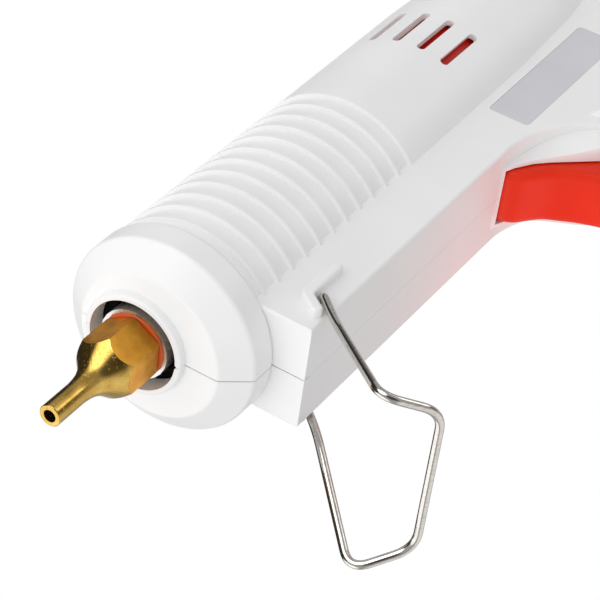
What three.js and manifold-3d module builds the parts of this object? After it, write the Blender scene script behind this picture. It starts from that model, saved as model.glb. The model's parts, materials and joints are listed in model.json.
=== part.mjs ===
// A hot glue gun for 11 mm sticks, with a brass nozzle, a ribbed barrel, a trigger feed and a wire stand.
// Gun frame, in millimetres: X runs from the cap's flat face to the rear, Y from the left half shell
// to the right one, Z up, with the nozzle's axis on Y = 0, Z = 0. The whole gun is then tipped nose
// down, so that the wire stand's foot and the handle's base lie on the surface at Z = 0.
import * as THREE from 'three';
import { mergeVertices } from 'three/addons/utils/BufferGeometryUtils.js';
import Module from 'manifold-3d';

const wasm = await Module();
wasm.setup();

const degree = Math.PI / 180;

// Fits, walls and cutters
const fitGap = 0.3;
const runningGap = 0.4;
const overrun = 2;
const shellWall = 2.5;
const weldDistance = 1e-4;
const fineSides = 36;
const midSides = 24;
const roundSides = 18;
const smallSides = 10;
const rimSteps = 2;
const cornerSteps = 5;
const archSteps = 10;
const bendSteps = 5;

// Glue stick
const stickChannelRadius = 6.1;

// Nose cap of the housing
const capRadius = 25;
const capFaceRadius = 18.5;
const capChamferLength = 5.35;
const capLength = 12.8;
const capDrop = 3.1;
const capRearRound = 0.8;
const capWall = 3;
const mouthRadius = 11.6;
const lipRadius = 13;
const lipProud = 2.2;
const lipRound = 0.6;

// Ribbed barrel of the housing
const barrelRadius = 23.9;
const barrelDrop = 2.6;
const barrelWall = 2.4;
const ribCount = 12;
const firstRib = 17;
const ribPitch = 5.93;
const ribCrest = 1.1;
const ribFlank = 0.35;
const grooveDepth = 0.8;
const gunRear = 206;
const tailTaperShares = [[0.45, 0.995], [0.68, 0.95], [0.84, 0.87], [0.95, 0.77], [1, 0.66]];

// Vents in the barrel, on both sides
const ventCount = 4;
const ventStart = 115.2;
const ventLength = 16.8;
const ventWidth = 2.3;
const ventLowestAngle = -17 * degree;
const ventPitchAngle = 17 * degree;

// Side rail under the barrel
const railHalfWidth = 14.4;
const railDepth = 36.5;
const railRound = 0.6;

// Arch behind the rail, handle and tail
const archStart = 104;
const archRadius = 30;
const handleLean = 18 * degree;
const gripDepth = 43;
const gripHalfWidth = 16;
const gripRound = 6;
const gripTop = 43;
const webRadius = 14;
const tailUnderside = 22.5;
const tailRise = 11;

// Wire stand
const wireRadius = 1.05;
const wireSides = 8;
const wireBend = 5;
const standPivotX = 23.5;
const standPivotDepth = 32.3;
const standEarGap = 2;
const standEndInset = 3.4;
const standKinkX = 17;
const standKinkDepth = 39.5;
const standCornerX = -7.8;
const standCornerY = 25.5;
const standCornerDepth = 64.7;
const standToeX = 2.2;
const standToeY = 20;
const standToeDepth = 75;
const standTilt = 22 * degree;

// L-shaped clips that the stand turns and stops in
const clipThickness = 2.8;
const clipProud = 2.5;
const clipRound = 0.8;
const clipArmLength = 12.5;
const clipStopLength = 6.2;

// Label plate on the left side
const labelStart = 115.6;
const labelLength = 50;
const labelTop = 24.8;
const labelHeight = 10.6;
const labelThickness = 0.6;
const labelCorner = 1.2;

// Nozzle
const nozzleReach = 33;
const nozzleTipRadius = 2.75;
const nozzleBoreRadius = 1.6;
const nozzleTipLength = 9.5;
const nozzleHexFront = 11.6;
const nozzleHexRear = 4.6;
const nozzleHexCorner = 8.15;
const nozzleHexTurn = 0;
const nozzleRimRadius = 8.6;
const nozzleShankRadius = 3.9;
const nozzleShankLength = 9;
const bellShares = [[0, 0], [0.16, 0.03], [0.33, 0.1], [0.52, 0.27], [0.7, 0.55], [0.86, 0.84], [1, 1]];

// Melt chamber, its washer, insulators and heater
const chamberFront = 1.5;
const chamberRimRadius = 9;
const chamberRimWall = 0.8;
const chamberRimDepth = 2.6;
const chamberFlangeRadius = 11.5;
const chamberFlangeLength = 2;
const chamberBodyRadius = 9.6;
const chamberBodyEnd = 62;
const chamberSpigotRadius = 7.4;
const chamberSpigotEnd = 74;
const chamberThroatRadius = 4.2;
const chamberConeEnd = 20;
const saddleStart = 17;
const saddleLength = 36;
const saddleHalfWidth = 7;
const saddleDepth = 11.7;
const insulatorRadius = 14;
const insulatorLength = 4.7;
const seatWall = 1.8;
const rearInsulatorRadius = 12.4;
const rearInsulatorStart = 53.5;
const rearInsulatorLength = 7;
const cradleThickness = 2.4;
const cradleTop = 8;
const heaterLength = 30;
const heaterHalfWidth = 5.5;
const heaterThickness = 2.2;
const clipBandLength = 10;
const clipBandThickness = 0.9;
const clipShoulder = 8;
const clipFloorHalfWidth = 6.8;
const sleeveWall = 2.2;
const sleeveGap = 10;
const sleeveClipLength = 4;
const sleeveClipWall = 1;

// Guide tube and inlet collar
const tubeRadius = 7.4;
const tubeSetback = 25;
const collarRadius = 10.6;
const collarLength = 8;
const collarFlangeRadius = 13.4;
const collarFlangeLength = 2.6;
const collarMouthRadius = 9.6;
const collarTubeDepth = 5.5;
const tubeCradleStart = 188;

// Carriage
const carriageSetback = 1;
const carriageLength = 42;
const carriageHalfWidth = 9.5;
const carriageHalfHeight = 10;
const carriageRound = 2.4;
const carriageRim = 1.6;
const carriageStep = 18;
const finHalfWidth = 2.6;
const finHeadroom = 3.1;
const guideRibThickness = 2.4;
const guideRibLead = 9;
const guideRibLength = 59;
const pocketStart = 4.5;
const pocketLength = 15;
const springLugLength = 3;
const springLugHalfWidth = 1.8;

// Gripper jaw
const jawHalfWidth = 3;
const jawSetback = 13.5;
const jawPivotDepth = 8.7;
const jawTailX = 2;
const jawTailDrop = 6.8;
const jawHubRadius = 2.2;
const jawNoseLength = 8;
const jawToothCount = 4;
const jawToothHeight = 0.6;
const jawNoseThickness = 2.4;
const jawPinRadius = 1.2;

// Trigger, its pivot and its arms
const triggerSetback = 3;
const triggerPivotDepth = 30;
const triggerReach = 59.5;
const triggerHalfWidth = 7.4;
const triggerRound = 1.8;
const triggerFaceSteps = 20;
const triggerHubRadius = 5;
const triggerArmThickness = 1.6;
const triggerArmHalfWidth = 2.6;
const triggerArmX = 3.1;
const triggerArmHeadroom = 0.9;
const triggerSlotFront = 5.9;
const triggerFaceShares = [[-0.087, -0.076], [-0.084, -0.134], [-0.045, -0.185], [0.008, -0.217],
  [0.071, -0.262], [0.112, -0.325], [0.158, -0.41], [0.195, -0.53], [0.185, -0.689], [0.138, -0.832],
  [0.114, -0.916], [0.128, -0.975], [0.193, -0.997]];
const triggerBackShares = [[0.622, -0.829], [0.655, -0.782], [0.538, -0.437], [0.303, -0.134],
  [0.134, -0.017]];
const slotShares = [[0.36, -0.067], [0.8, -0.8], [0.62, -0.87], [0.193, -1.08]];
const pivotPinRadius = 2;

// Prow of the handle beside the trigger, flared from the trigger's slot out to the rail's width
const prowRound = 4;
const prowShares = [[-0.1, -0.112], [-0.02, -0.148], [0.06, -0.196], [0.12, -0.25], [0.19, -0.325],
  [0.28, -0.41], [0.4, -0.475], [0.56, -0.46], [0.56, 0.1], [-0.1, 0.1]];
const prowPlanShares = [[-0.12, 0.63], [0.02, 0.65], [0.08, 0.73], [0.15, 0.85], [0.24, 0.94], [0.6, 1]];

// Links and their pins
const linkThickness = 1.5;
const linkHalfWidth = 2.2;
const linkPinRadius = 1.2;
const openPivotPlay = 0.4;
const pinHeadRadius = 2;
const pinHeadLength = 0.6;

// Return spring
const springWireRadius = 0.4;
const springRadius = 2.3;
const springCurls = 14;
const springCurlSteps = 8;
const springWireSides = 5;
const springHeadroom = 2.6;
const springPostX = 184;
const springPostRadius = 2.2;

// Screws and their bosses, as places in the side view
const bossRadius = 3.6;
const screwRadius = 1.25;
const screwHeadRadius = 2.9;
const screwHeadLength = 2;
const screwHeadY = 8;
const screwTipY = 8.6;
const frontBossX = 46;
const middleBossLead = 12;
const railBossDepth = 29.6;
const tailBossX = 194;
const tailBossDepth = 15;
const gripBossShares = [0.42, 0.86];
const gripBossSetbackShare = 0.42;

// Terminal block, leads and cord inlet in the handle
const terminalLength = 16;
const terminalDepth = 11.5;
const terminalHalfWidth = 6;
const terminalAlongShare = 0.62;
const leadRadius = 0.95;
const leadSides = 6;
const leadStub = 3.4;
const leadBend = 2.1;
const inletHeight = 12.5;
const inletSpigotRadius = 8.2;
const inletSpigotReach = 8;
const inletBoreRadius = 5.6;
const glandBoreRadius = 3.4;
const glandFlangeRadius = 7;
const glandFlangeLength = 2;
const glandLength = 12;

// Colours and surfaces
const finishes = {
  whiteShell: { color: 0xf2f1f0, roughness: 0.42, metalness: 0 },
  orangePlastic: { color: 0xe8380f, roughness: 0.35, metalness: 0 },
  brass: { color: 0xb98a2c, roughness: 0.3, metalness: 1 },
  steel: { color: 0xb9b6b1, roughness: 0.22, metalness: 1 },
  aluminium: { color: 0xc9cbcd, roughness: 0.4, metalness: 1 },
  silicone: { color: 0xc8401a, roughness: 0.6, metalness: 0 },
  blackResin: { color: 0x1c1b1c, roughness: 0.55, metalness: 0 },
  ceramic: { color: 0xdedad2, roughness: 0.7, metalness: 0 },
  greyLabel: { color: 0xc3c6c9, roughness: 0.5, metalness: 0 },
  redNylon: { color: 0xa81c10, roughness: 0.45, metalness: 0 },
  greyNylon: { color: 0x3f3f42, roughness: 0.5, metalness: 0 },
  blackRubber: { color: 0x19191a, roughness: 0.7, metalness: 0 },
  paleSilicone: { color: 0xd6d1c8, roughness: 0.6, metalness: 0 },
};

// Places that several pieces share
const railFront = capLength;
const standEarY = railHalfWidth + standEarGap;
const standEndY = railHalfWidth - standEndInset;
const collarStart = gunRear - collarLength + fitGap;
const springDepth = carriageHalfHeight + springHeadroom;
const triggerPivotX = archStart + triggerSetback;
const carriageStart = triggerPivotX + carriageSetback;
const sleeveEnd = carriageStart - sleeveGap;
const tubeStart = carriageStart + tubeSetback;
const jawPivotX = carriageStart + jawSetback;
const triggerPivot = new THREE.Vector2(triggerPivotX, -triggerPivotDepth);
const standPivot = new THREE.Vector2(standPivotX, -standPivotDepth);
const downHandle = new THREE.Vector2(Math.sin(handleLean), -Math.cos(handleLean));
const acrossHandle = new THREE.Vector2(Math.cos(handleLean), Math.sin(handleLean));
const alongGround = new THREE.Vector2(Math.cos(standTilt), -Math.sin(standTilt));
const awayFromGround = new THREE.Vector2(Math.sin(standTilt), Math.cos(standTilt));
const archCentre = new THREE.Vector2(archStart, -railDepth - archRadius);
const jawPivot = new THREE.Vector2(jawPivotX, -jawPivotDepth);
const jawTail = new THREE.Vector2(jawPivotX + jawTailX, -jawPivotDepth - jawTailDrop);
const armPinDepth = carriageHalfHeight + triggerArmHeadroom + triggerArmHalfWidth;
const armPin = new THREE.Vector2(triggerPivotX + triggerArmX, -armPinDepth);
const railInnerHalf = railHalfWidth - shellWall;
const gripInnerHalf = gripHalfWidth - shellWall;
const linkInnerY = jawHalfWidth + fitGap;
const linkOuterY = linkInnerY + linkThickness;
const armInnerY = linkOuterY + fitGap;
const armOuterY = armInnerY + triggerArmThickness;
const cavityRadius = barrelRadius - grooveDepth - barrelWall;
const leadY = (armOuterY + fitGap + pinHeadLength + railInnerHalf) / 2;
const leadDepth = (jawPivotDepth + jawTailDrop + jawHubRadius + triggerPivotDepth - triggerHubRadius) / 2;
const insulatorBoreRadius = chamberRimRadius + fitGap;
const sleeveRadius = chamberSpigotRadius + fitGap + sleeveWall;

function groundPoint(inset) {
  const toe = new THREE.Vector2(standToeX, -standToeDepth);
  return toe.addScaledVector(awayFromGround, inset - wireRadius);
}

function gripFrontPoint(inset) {
  return archCentre.clone().addScaledVector(acrossHandle, archRadius + inset);
}

function gripBackPoint(inset) {
  return archCentre.clone().addScaledVector(acrossHandle, archRadius + gripDepth - inset);
}

// Where two lines of the side view cross, each given by a point and a direction.
function crossing(point, direction, otherPoint, otherDirection) {
  const between = otherPoint.clone().sub(point);
  const along = between.cross(otherDirection) / direction.cross(otherDirection);
  return point.clone().addScaledVector(direction, along);
}

// Solids from three.js geometry
function signedVolume(position, triangles) {
  const a = new THREE.Vector3();
  const b = new THREE.Vector3();
  const c = new THREE.Vector3();
  let volume = 0;
  for (let i = 0; i < triangles.length; i += 3) {
    a.fromBufferAttribute(position, triangles[i]);
    b.fromBufferAttribute(position, triangles[i + 1]);
    c.fromBufferAttribute(position, triangles[i + 2]);
    volume += a.dot(b.cross(c));
  }
  return volume;
}

function solidOf(geometry) {
  const bare = geometry.clone();
  bare.deleteAttribute('normal');
  bare.deleteAttribute('uv');
  const merged = mergeVertices(bare, weldDistance);
  const index = merged.index.array;
  const triangles = [];
  for (let i = 0; i < index.length; i += 3) {
    const [a, b, c] = [index[i], index[i + 1], index[i + 2]];
    if (a !== b && b !== c && c !== a) triangles.push(a, b, c);
  }
  if (signedVolume(merged.attributes.position, triangles) < 0) triangles.reverse();
  return new wasm.Manifold(new wasm.Mesh({
    numProp: 3,
    vertProperties: new Float32Array(merged.attributes.position.array),
    triVerts: new Uint32Array(triangles),
  }));
}

function geometryOf(solid) {
  const mesh = solid.getMesh();
  const geometry = new THREE.BufferGeometry();
  geometry.setAttribute('position', new THREE.BufferAttribute(mesh.vertProperties, mesh.numProp));
  geometry.setIndex(new THREE.BufferAttribute(mesh.triVerts, 1));
  geometry.computeVertexNormals();
  return geometry;
}

function block(low, high) {
  const size = high.clone().sub(low);
  const geometry = new THREE.BoxGeometry(size.x, size.y, size.z);
  const centre = low.clone().add(high).multiplyScalar(0.5);
  geometry.translate(centre.x, centre.y, centre.z);
  return solidOf(geometry);
}

function blockOf(x, y, z) {
  return block(new THREE.Vector3(x[0], y[0], z[0]), new THREE.Vector3(x[1], y[1], z[1]));
}

// A turned piece about a line along X, from [x, radius] pairs that start and end on the axis.
function turned(profile, height, sides) {
  const points = profile.map(([x, radius]) => new THREE.Vector2(radius, x));
  const geometry = new THREE.LatheGeometry(points, sides);
  geometry.rotateZ(-Math.PI / 2);
  geometry.translate(0, 0, height);
  return solidOf(geometry);
}

function rodX(radius, start, end, height, sides) {
  return turned([[start, 0], [start, radius], [end, radius], [end, 0]], height, sides);
}

function ringX(innerRadius, outerRadius, start, end, height, sides) {
  return turned([[start, innerRadius], [start, outerRadius], [end, outerRadius], [end, innerRadius],
    [start, innerRadius]], height, sides);
}

function rodY(radius, start, end, place, sides) {
  const geometry = new THREE.CylinderGeometry(radius, radius, end - start, sides);
  geometry.translate(place.x, (start + end) / 2, place.y);
  return solidOf(geometry);
}

// A plate cut to an outline in the side view, from one Y to another, with rounded rims.
function plateY(shape, start, end, round, steps = cornerSteps) {
  const geometry = new THREE.ExtrudeGeometry(shape, {
    depth: end - start - 2 * round,
    bevelEnabled: round > 0,
    bevelThickness: round,
    bevelSize: round,
    bevelOffset: -round,
    bevelSegments: rimSteps,
    curveSegments: steps,
  });
  geometry.rotateX(Math.PI / 2);
  geometry.translate(0, end - round, 0);
  return solidOf(geometry);
}

// A bar of one section in the view from the front, from one X to another.
function barX(shape, start, end) {
  const geometry = new THREE.ExtrudeGeometry(shape, {
    depth: end - start,
    bevelEnabled: false,
    curveSegments: smallSides,
  });
  geometry.rotateY(Math.PI / 2);
  geometry.rotateX(Math.PI / 2);
  geometry.translate(start, 0, 0);
  return solidOf(geometry);
}

function outlineOf(points) {
  return new THREE.Shape(points.map((point) => point.clone()));
}

function shareOutline(shares, origin, scale) {
  return shares.map(([along, up]) => new THREE.Vector2(origin.x + along * scale, origin.y + up * scale));
}

// A rounded rectangle between two corners of the side view.
function roundedRectangle(left, right, bottom, top, radius) {
  const shape = new THREE.Shape();
  shape.absarc(right - radius, bottom + radius, radius, -Math.PI / 2, 0, false);
  shape.absarc(right - radius, top - radius, radius, 0, Math.PI / 2, false);
  shape.absarc(left + radius, top - radius, radius, Math.PI / 2, Math.PI, false);
  shape.absarc(left + radius, bottom + radius, radius, Math.PI, 1.5 * Math.PI, false);
  shape.closePath();
  return shape;
}

// A bar with round ends from one point of the side view to another.
function stadium(from, to, halfWidth) {
  const angle = Math.atan2(to.y - from.y, to.x - from.x);
  const shape = new THREE.Shape();
  shape.absarc(to.x, to.y, halfWidth, angle - Math.PI / 2, angle + Math.PI / 2, false);
  shape.absarc(from.x, from.y, halfWidth, angle + Math.PI / 2, angle + 1.5 * Math.PI, false);
  shape.closePath();
  return shape;
}

// A path whose steps lie at given points, so that a straight run takes one step and a bend several.
class SteppedPath extends THREE.Curve {
  constructor(points, directions) {
    super();
    this.points = points;
    this.directions = directions;
  }

  getPointAt(share) {
    return this.points[Math.round(share * (this.points.length - 1))].clone();
  }

  getTangentAt(share) {
    return this.directions[Math.round(share * (this.points.length - 1))].clone();
  }
}

// A tube from corner to corner, with its corners rounded.
function wireAlong(corners, bend, radius, sides) {
  const first = corners[1].clone().sub(corners[0]).normalize();
  const points = [corners[0]];
  const directions = [first];
  for (let i = 1; i < corners.length - 1; i += 1) {
    const before = corners[i].clone().sub(corners[i - 1]);
    const after = corners[i + 1].clone().sub(corners[i]);
    const reach = Math.min(bend, before.length() / 2, after.length() / 2);
    const entry = corners[i].clone().addScaledVector(before.normalize(), -reach);
    const exit = corners[i].clone().addScaledVector(after.normalize(), reach);
    const curve = new THREE.QuadraticBezierCurve3(entry, corners[i], exit);
    for (let k = 0; k <= bendSteps; k += 1) {
      points.push(curve.getPoint(k / bendSteps));
      directions.push(curve.getTangent(k / bendSteps));
    }
  }
  points.push(corners[corners.length - 1]);
  directions.push(directions[directions.length - 1].clone());
  const section = new THREE.Shape();
  section.absarc(0, 0, radius, 0, 2 * Math.PI, false);
  const outline = new THREE.Shape(section.getSpacedPoints(sides).slice(0, sides));
  const extrudePath = new SteppedPath(points, directions);
  const steps = points.length - 1;
  return solidOf(new THREE.ExtrudeGeometry(outline, { steps, extrudePath, bevelEnabled: false }));
}

// Housing
function bodyOutline(inset) {
  const front = crossing(gripFrontPoint(inset), downHandle, groundPoint(inset), alongGround);
  const back = crossing(gripBackPoint(inset), downHandle, groundPoint(inset), alongGround);
  const webHeight = new THREE.Vector2(0, -tailUnderside - webRadius);
  const level = new THREE.Vector2(1, 0);
  const webCentre = crossing(gripBackPoint(-webRadius), downHandle, webHeight, level);
  const shape = new THREE.Shape();
  shape.moveTo(railFront + inset, -barrelDrop);
  shape.lineTo(railFront + inset, -railDepth + inset);
  shape.absarc(archCentre.x, archCentre.y, archRadius + inset, Math.PI / 2, handleLean, true);
  shape.lineTo(front.x, front.y);
  shape.lineTo(back.x, back.y);
  shape.absarc(webCentre.x, webCentre.y, webRadius + inset, Math.PI + handleLean, Math.PI / 2, true);
  shape.lineTo(gunRear - 2 * shellWall, -tailRise + inset);
  shape.lineTo(gunRear - 2 * shellWall, -barrelDrop);
  shape.closePath();
  return shape;
}

function gripOutline(inset, groundInset) {
  const ground = groundPoint(groundInset);
  const top = new THREE.Vector2(0, -gripTop - inset);
  const level = new THREE.Vector2(1, 0);
  return outlineOf([
    crossing(gripFrontPoint(inset), downHandle, top, level),
    crossing(gripFrontPoint(inset), downHandle, ground, alongGround),
    crossing(gripBackPoint(inset), downHandle, ground, alongGround),
    crossing(gripBackPoint(inset), downHandle, top, level),
  ]);
}

function capBody() {
  const capProfile = [[0, 0], [0, capFaceRadius], [capChamferLength, capRadius],
    [capLength - capRearRound, capRadius], [capLength, capRadius - capRearRound],
    [capLength, barrelRadius - grooveDepth], [capLength + overrun, 0]];
  const lipProfile = [[-lipProud, 0], [-lipProud, lipRadius - lipRound], [-lipProud + lipRound, lipRadius],
    [capWall, lipRadius], [capWall, 0]];
  return turned(capProfile, -capDrop, fineSides).add(turned(lipProfile, 0, fineSides));
}

function barrelProfile() {
  const floorRadius = barrelRadius - grooveDepth;
  const profile = [[capLength - overrun, 0], [capLength - overrun, floorRadius]];
  for (let i = 0; i < ribCount; i += 1) {
    const centre = firstRib + i * ribPitch;
    const half = ribCrest / 2;
    profile.push([centre - half - ribFlank, floorRadius], [centre - half, barrelRadius]);
    if (i === ribCount - 1) continue;
    profile.push([centre + half, barrelRadius], [centre + half + ribFlank, floorRadius]);
  }
  const smoothStart = firstRib + (ribCount - 1) * ribPitch;
  const smoothLength = gunRear - smoothStart;
  for (const [along, radius] of tailTaperShares) {
    profile.push([smoothStart + along * smoothLength, radius * barrelRadius]);
  }
  profile.push([gunRear, 0]);
  return profile;
}

function handleProw() {
  const outline = outlineOf(shareOutline(prowShares, triggerPivot, triggerReach));
  const right = prowPlanShares.map(([along, out]) => new THREE.Vector2(
    triggerPivot.x + along * triggerReach,
    out * railHalfWidth,
  ));
  const left = right.map((point) => new THREE.Vector2(point.x, -point.y)).reverse();
  const plan = new THREE.ExtrudeGeometry(outlineOf([...right, ...left]), {
    depth: triggerReach + overrun,
    bevelEnabled: false,
  });
  plan.translate(0, 0, -triggerPivotDepth - triggerReach);
  return plateY(outline, -railHalfWidth, railHalfWidth, prowRound).intersect(solidOf(plan));
}

function housingOuter() {
  const ground = groundPoint(0);
  const belowGround = outlineOf([
    ground.clone().addScaledVector(alongGround, -gunRear),
    ground.clone().addScaledVector(alongGround, 2 * gunRear),
    ground.clone().addScaledVector(alongGround, 2 * gunRear).addScaledVector(awayFromGround, -gunRear),
    ground.clone().addScaledVector(alongGround, -gunRear).addScaledVector(awayFromGround, -gunRear),
  ]);
  return capBody()
    .add(turned(barrelProfile(), -barrelDrop, fineSides))
    .add(plateY(bodyOutline(0), -railHalfWidth, railHalfWidth, railRound, archSteps))
    .add(plateY(gripOutline(0, -gripRound), -gripHalfWidth, gripHalfWidth, gripRound))
    .add(handleProw())
    .subtract(plateY(belowGround, -gunRear, gunRear, 0));
}

function housingCavity() {
  const capInner = [[capWall, 0], [capWall, capFaceRadius - capWall / 2],
    [capChamferLength + capWall / 2, capRadius - capWall], [capLength + overrun, capRadius - capWall],
    [capLength + overrun, 0]];
  const smoothStart = firstRib + (ribCount - 1) * ribPitch;
  const smoothLength = gunRear - smoothStart;
  const inner = [[capLength, 0], [capLength, cavityRadius], [smoothStart, cavityRadius]];
  for (const [along, radius] of tailTaperShares) {
    const x = Math.min(smoothStart + along * smoothLength, gunRear - shellWall);
    inner.push([x, Math.min(radius * barrelRadius - shellWall, cavityRadius)]);
  }
  inner.push([gunRear - shellWall, 0]);
  return turned(capInner, -capDrop, midSides)
    .subtract(turned([[0, 0], [0, lipRadius], [capWall, lipRadius], [capWall, 0]], 0, roundSides))
    .add(turned(inner, -barrelDrop, midSides))
    .add(plateY(bodyOutline(shellWall), -railInnerHalf, railInnerHalf, 0, archSteps))
    .add(plateY(gripOutline(shellWall, shellWall), -gripInnerHalf, gripInnerHalf, gripRound - shellWall));
}

function bossPlaces() {
  const onGrip = gripBossShares.map((share) => gripPlace(share, gripBossSetbackShare));
  const middleBossX = archStart - middleBossLead;
  return [new THREE.Vector2(frontBossX, -railBossDepth), new THREE.Vector2(middleBossX, -railBossDepth),
    new THREE.Vector2(tailBossX, -tailBossDepth), ...onGrip];
}

// A place in the handle, as shares of its front edge's length and of its depth.
function gripPlace(alongShare, setbackShare) {
  const top = gripFrontPoint(0);
  const bottom = crossing(top, downHandle, groundPoint(0), alongGround);
  return top.lerp(bottom, alongShare).addScaledVector(acrossHandle, setbackShare * gripDepth);
}

function clipSolid(side) {
  const legDirection = new THREE.Vector2(standKinkX, -standKinkDepth).sub(standPivot).normalize();
  const ahead = new THREE.Vector2(legDirection.y, -legDirection.x);
  const spacing = wireRadius + fitGap + clipThickness / 2;
  const corner = standPivot.clone().addScaledVector(ahead, spacing).add(new THREE.Vector2(0, spacing / 2));
  corner.y = -standPivotDepth + spacing;
  const stopEnd = standPivot.clone().addScaledVector(ahead, spacing)
    .addScaledVector(legDirection, clipStopLength);
  const armEnd = new THREE.Vector2(corner.x + clipArmLength, corner.y);
  const low = side < 0 ? -railHalfWidth - clipProud : railHalfWidth - shellWall / 2;
  const high = side < 0 ? -railHalfWidth + shellWall / 2 : railHalfWidth + clipProud;
  return plateY(stadium(corner, armEnd, clipThickness / 2), low, high, clipRound)
    .add(plateY(stadium(corner, stopEnd, clipThickness / 2), low, high, clipRound));
}

function inletAxis(reach) {
  const backOnGround = crossing(gripBackPoint(0), downHandle, groundPoint(inletHeight), alongGround);
  return backOnGround.addScaledVector(alongGround, reach);
}

// A round bar along the inlet's axis, which lies level when the gun stands.
function rodAtInlet(radius, startReach, endReach, sides) {
  const start = inletAxis(startReach);
  const geometry = new THREE.CylinderGeometry(radius, radius, endReach - startReach, sides);
  geometry.rotateZ(-Math.PI / 2);
  geometry.translate((endReach - startReach) / 2, 0, 0);
  geometry.rotateY(standTilt);
  geometry.translate(start.x, 0, start.y);
  return solidOf(geometry);
}

function ventCutters() {
  const start = ventStart + ventWidth / 2;
  const end = ventStart + ventLength - ventWidth / 2;
  const slot = stadium(new THREE.Vector2(start, 0), new THREE.Vector2(end, 0), ventWidth / 2);
  const cutters = [];
  for (const side of [-1, 1]) {
    for (let i = 0; i < ventCount; i += 1) {
      const angle = ventLowestAngle + i * ventPitchAngle;
      const geometry = new THREE.ExtrudeGeometry(slot, {
        depth: 2 * barrelWall + overrun,
        bevelEnabled: false,
        curveSegments: rimSteps + 1,
      });
      geometry.rotateX(Math.PI / 2);
      geometry.translate(0, barrelRadius + overrun, 0);
      geometry.rotateX(angle);
      if (side < 0) geometry.scale(1, side, 1);
      geometry.translate(0, 0, -barrelDrop);
      cutters.push(solidOf(geometry));
    }
  }
  return cutters;
}

function innerFittings() {
  const insulatorSeat = insulatorRadius + fitGap;
  const rearSeat = rearInsulatorRadius + fitGap;
  const rearCradleX = rearInsulatorStart + (rearInsulatorLength - cradleThickness) / 2;
  const rearCradleEnd = rearCradleX + cradleThickness;
  const reach = barrelRadius;
  const leadHoleRadius = leadRadius + 2 * fitGap;
  const holeStart = rearCradleX - overrun;
  const leadHole = rodX(leadHoleRadius, holeStart, rearCradleEnd + overrun, -leadDepth, smallSides);
  const cradles = [
    blockOf([rearCradleX, rearCradleEnd], [-reach, reach], [-railDepth, cradleTop])
      .subtract(rodX(rearSeat, rearCradleX - overrun, rearCradleEnd + overrun, 0, roundSides))
      .subtract(leadHole.translate(0, leadY, 0))
      .subtract(leadHole.translate(0, -leadY, 0)),
    blockOf([tubeCradleStart, tubeCradleStart + cradleThickness], [-reach, reach], [-reach, cradleTop])
      .subtract(rodX(tubeRadius + fitGap, tubeCradleStart - overrun,
        tubeCradleStart + overrun + cradleThickness, 0, roundSides)),
  ];
  const ribLow = carriageHalfHeight + runningGap;
  const ribStart = carriageStart - guideRibLead;
  const ribs = [-1, 1].map((side) => {
    const near = finHalfWidth + runningGap;
    const ys = [side * near, side * (near + guideRibThickness)].sort((a, b) => a - b);
    return blockOf([ribStart, ribStart + guideRibLength], ys, [ribLow, reach]);
  });
  const bosses = bossPlaces().map((place) => rodY(bossRadius, -reach, reach, place, roundSides));
  const postPlace = new THREE.Vector2(springPostX, -springDepth);
  const post = rodY(springPostRadius, -reach, reach, postPlace, smallSides);
  const seat = ringX(insulatorSeat, insulatorSeat + seatWall, capWall - overrun / 2,
    capWall + fitGap + insulatorLength, 0, fineSides);
  return [...cradles, ...ribs, ...bosses, post, seat];
}

function labelOutline(gap) {
  return roundedRectangle(labelStart + gap, labelStart + labelLength - gap,
    -labelTop - labelHeight + gap, -labelTop - gap, labelCorner);
}

function slotOutline() {
  const front = triggerPivotX - triggerSlotFront;
  const bottom = -triggerPivotDepth - triggerReach - overrun * 2;
  const roof = -railDepth + shellWall + overrun / 2;
  const shares = shareOutline(slotShares, triggerPivot, triggerReach);
  const back = triggerPivot.x + triggerHubRadius + fitGap;
  return outlineOf([new THREE.Vector2(front, bottom), new THREE.Vector2(front, roof),
    new THREE.Vector2(back, roof), ...shares]);
}

function screwHoles(place) {
  const seat = screwHeadY;
  return rodY(screwRadius + fitGap, -screwTipY - fitGap, gripHalfWidth * 2, place, smallSides)
    .add(rodY(screwHeadRadius + fitGap, seat, gripHalfWidth * 2, place, roundSides));
}

function housing() {
  const outer = housingOuter();
  let body = outer.subtract(housingCavity());
  const slotHalf = triggerHalfWidth + runningGap;
  body = body.subtract(plateY(slotOutline(), -slotHalf, slotHalf, 0));
  for (const fitting of innerFittings()) body = body.add(fitting.intersect(outer));
  body = body.add(clipSolid(-1)).add(clipSolid(1));
  body = body.add(rodAtInlet(inletSpigotRadius, -inletSpigotReach, inletSpigotReach, roundSides));
  body = body.subtract(rodX(mouthRadius, -lipProud - overrun, capWall + overrun / 2, 0, fineSides));
  body = body.subtract(rodX(collarRadius + fitGap, collarStart - fitGap, gunRear + overrun, 0, roundSides));
  body = body.subtract(rodAtInlet(inletBoreRadius + fitGap, -2 * inletSpigotReach,
    inletSpigotReach + overrun, roundSides));
  for (const cutter of ventCutters()) body = body.subtract(cutter);
  const pinY = railHalfWidth - shellWall / 3;
  body = body.subtract(rodY(pivotPinRadius + fitGap, -pinY, pinY, triggerPivot, roundSides));
  body = body.subtract(rodY(wireRadius + fitGap, -gunRear, gunRear, standPivot, smallSides));
  for (const place of bossPlaces()) body = body.subtract(screwHoles(place));
  const recess = labelThickness + fitGap;
  body = body.subtract(plateY(labelOutline(0), -railHalfWidth - overrun, -railHalfWidth + recess, 0));
  return body;
}

function housingHalf(side) {
  const far = 2 * capRadius;
  const ys = side < 0 ? [-far, -fitGap / 2] : [fitGap / 2, far];
  return housing().intersect(blockOf([-far, 2 * gunRear], ys, [-2 * gunRear, far]));
}

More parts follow.
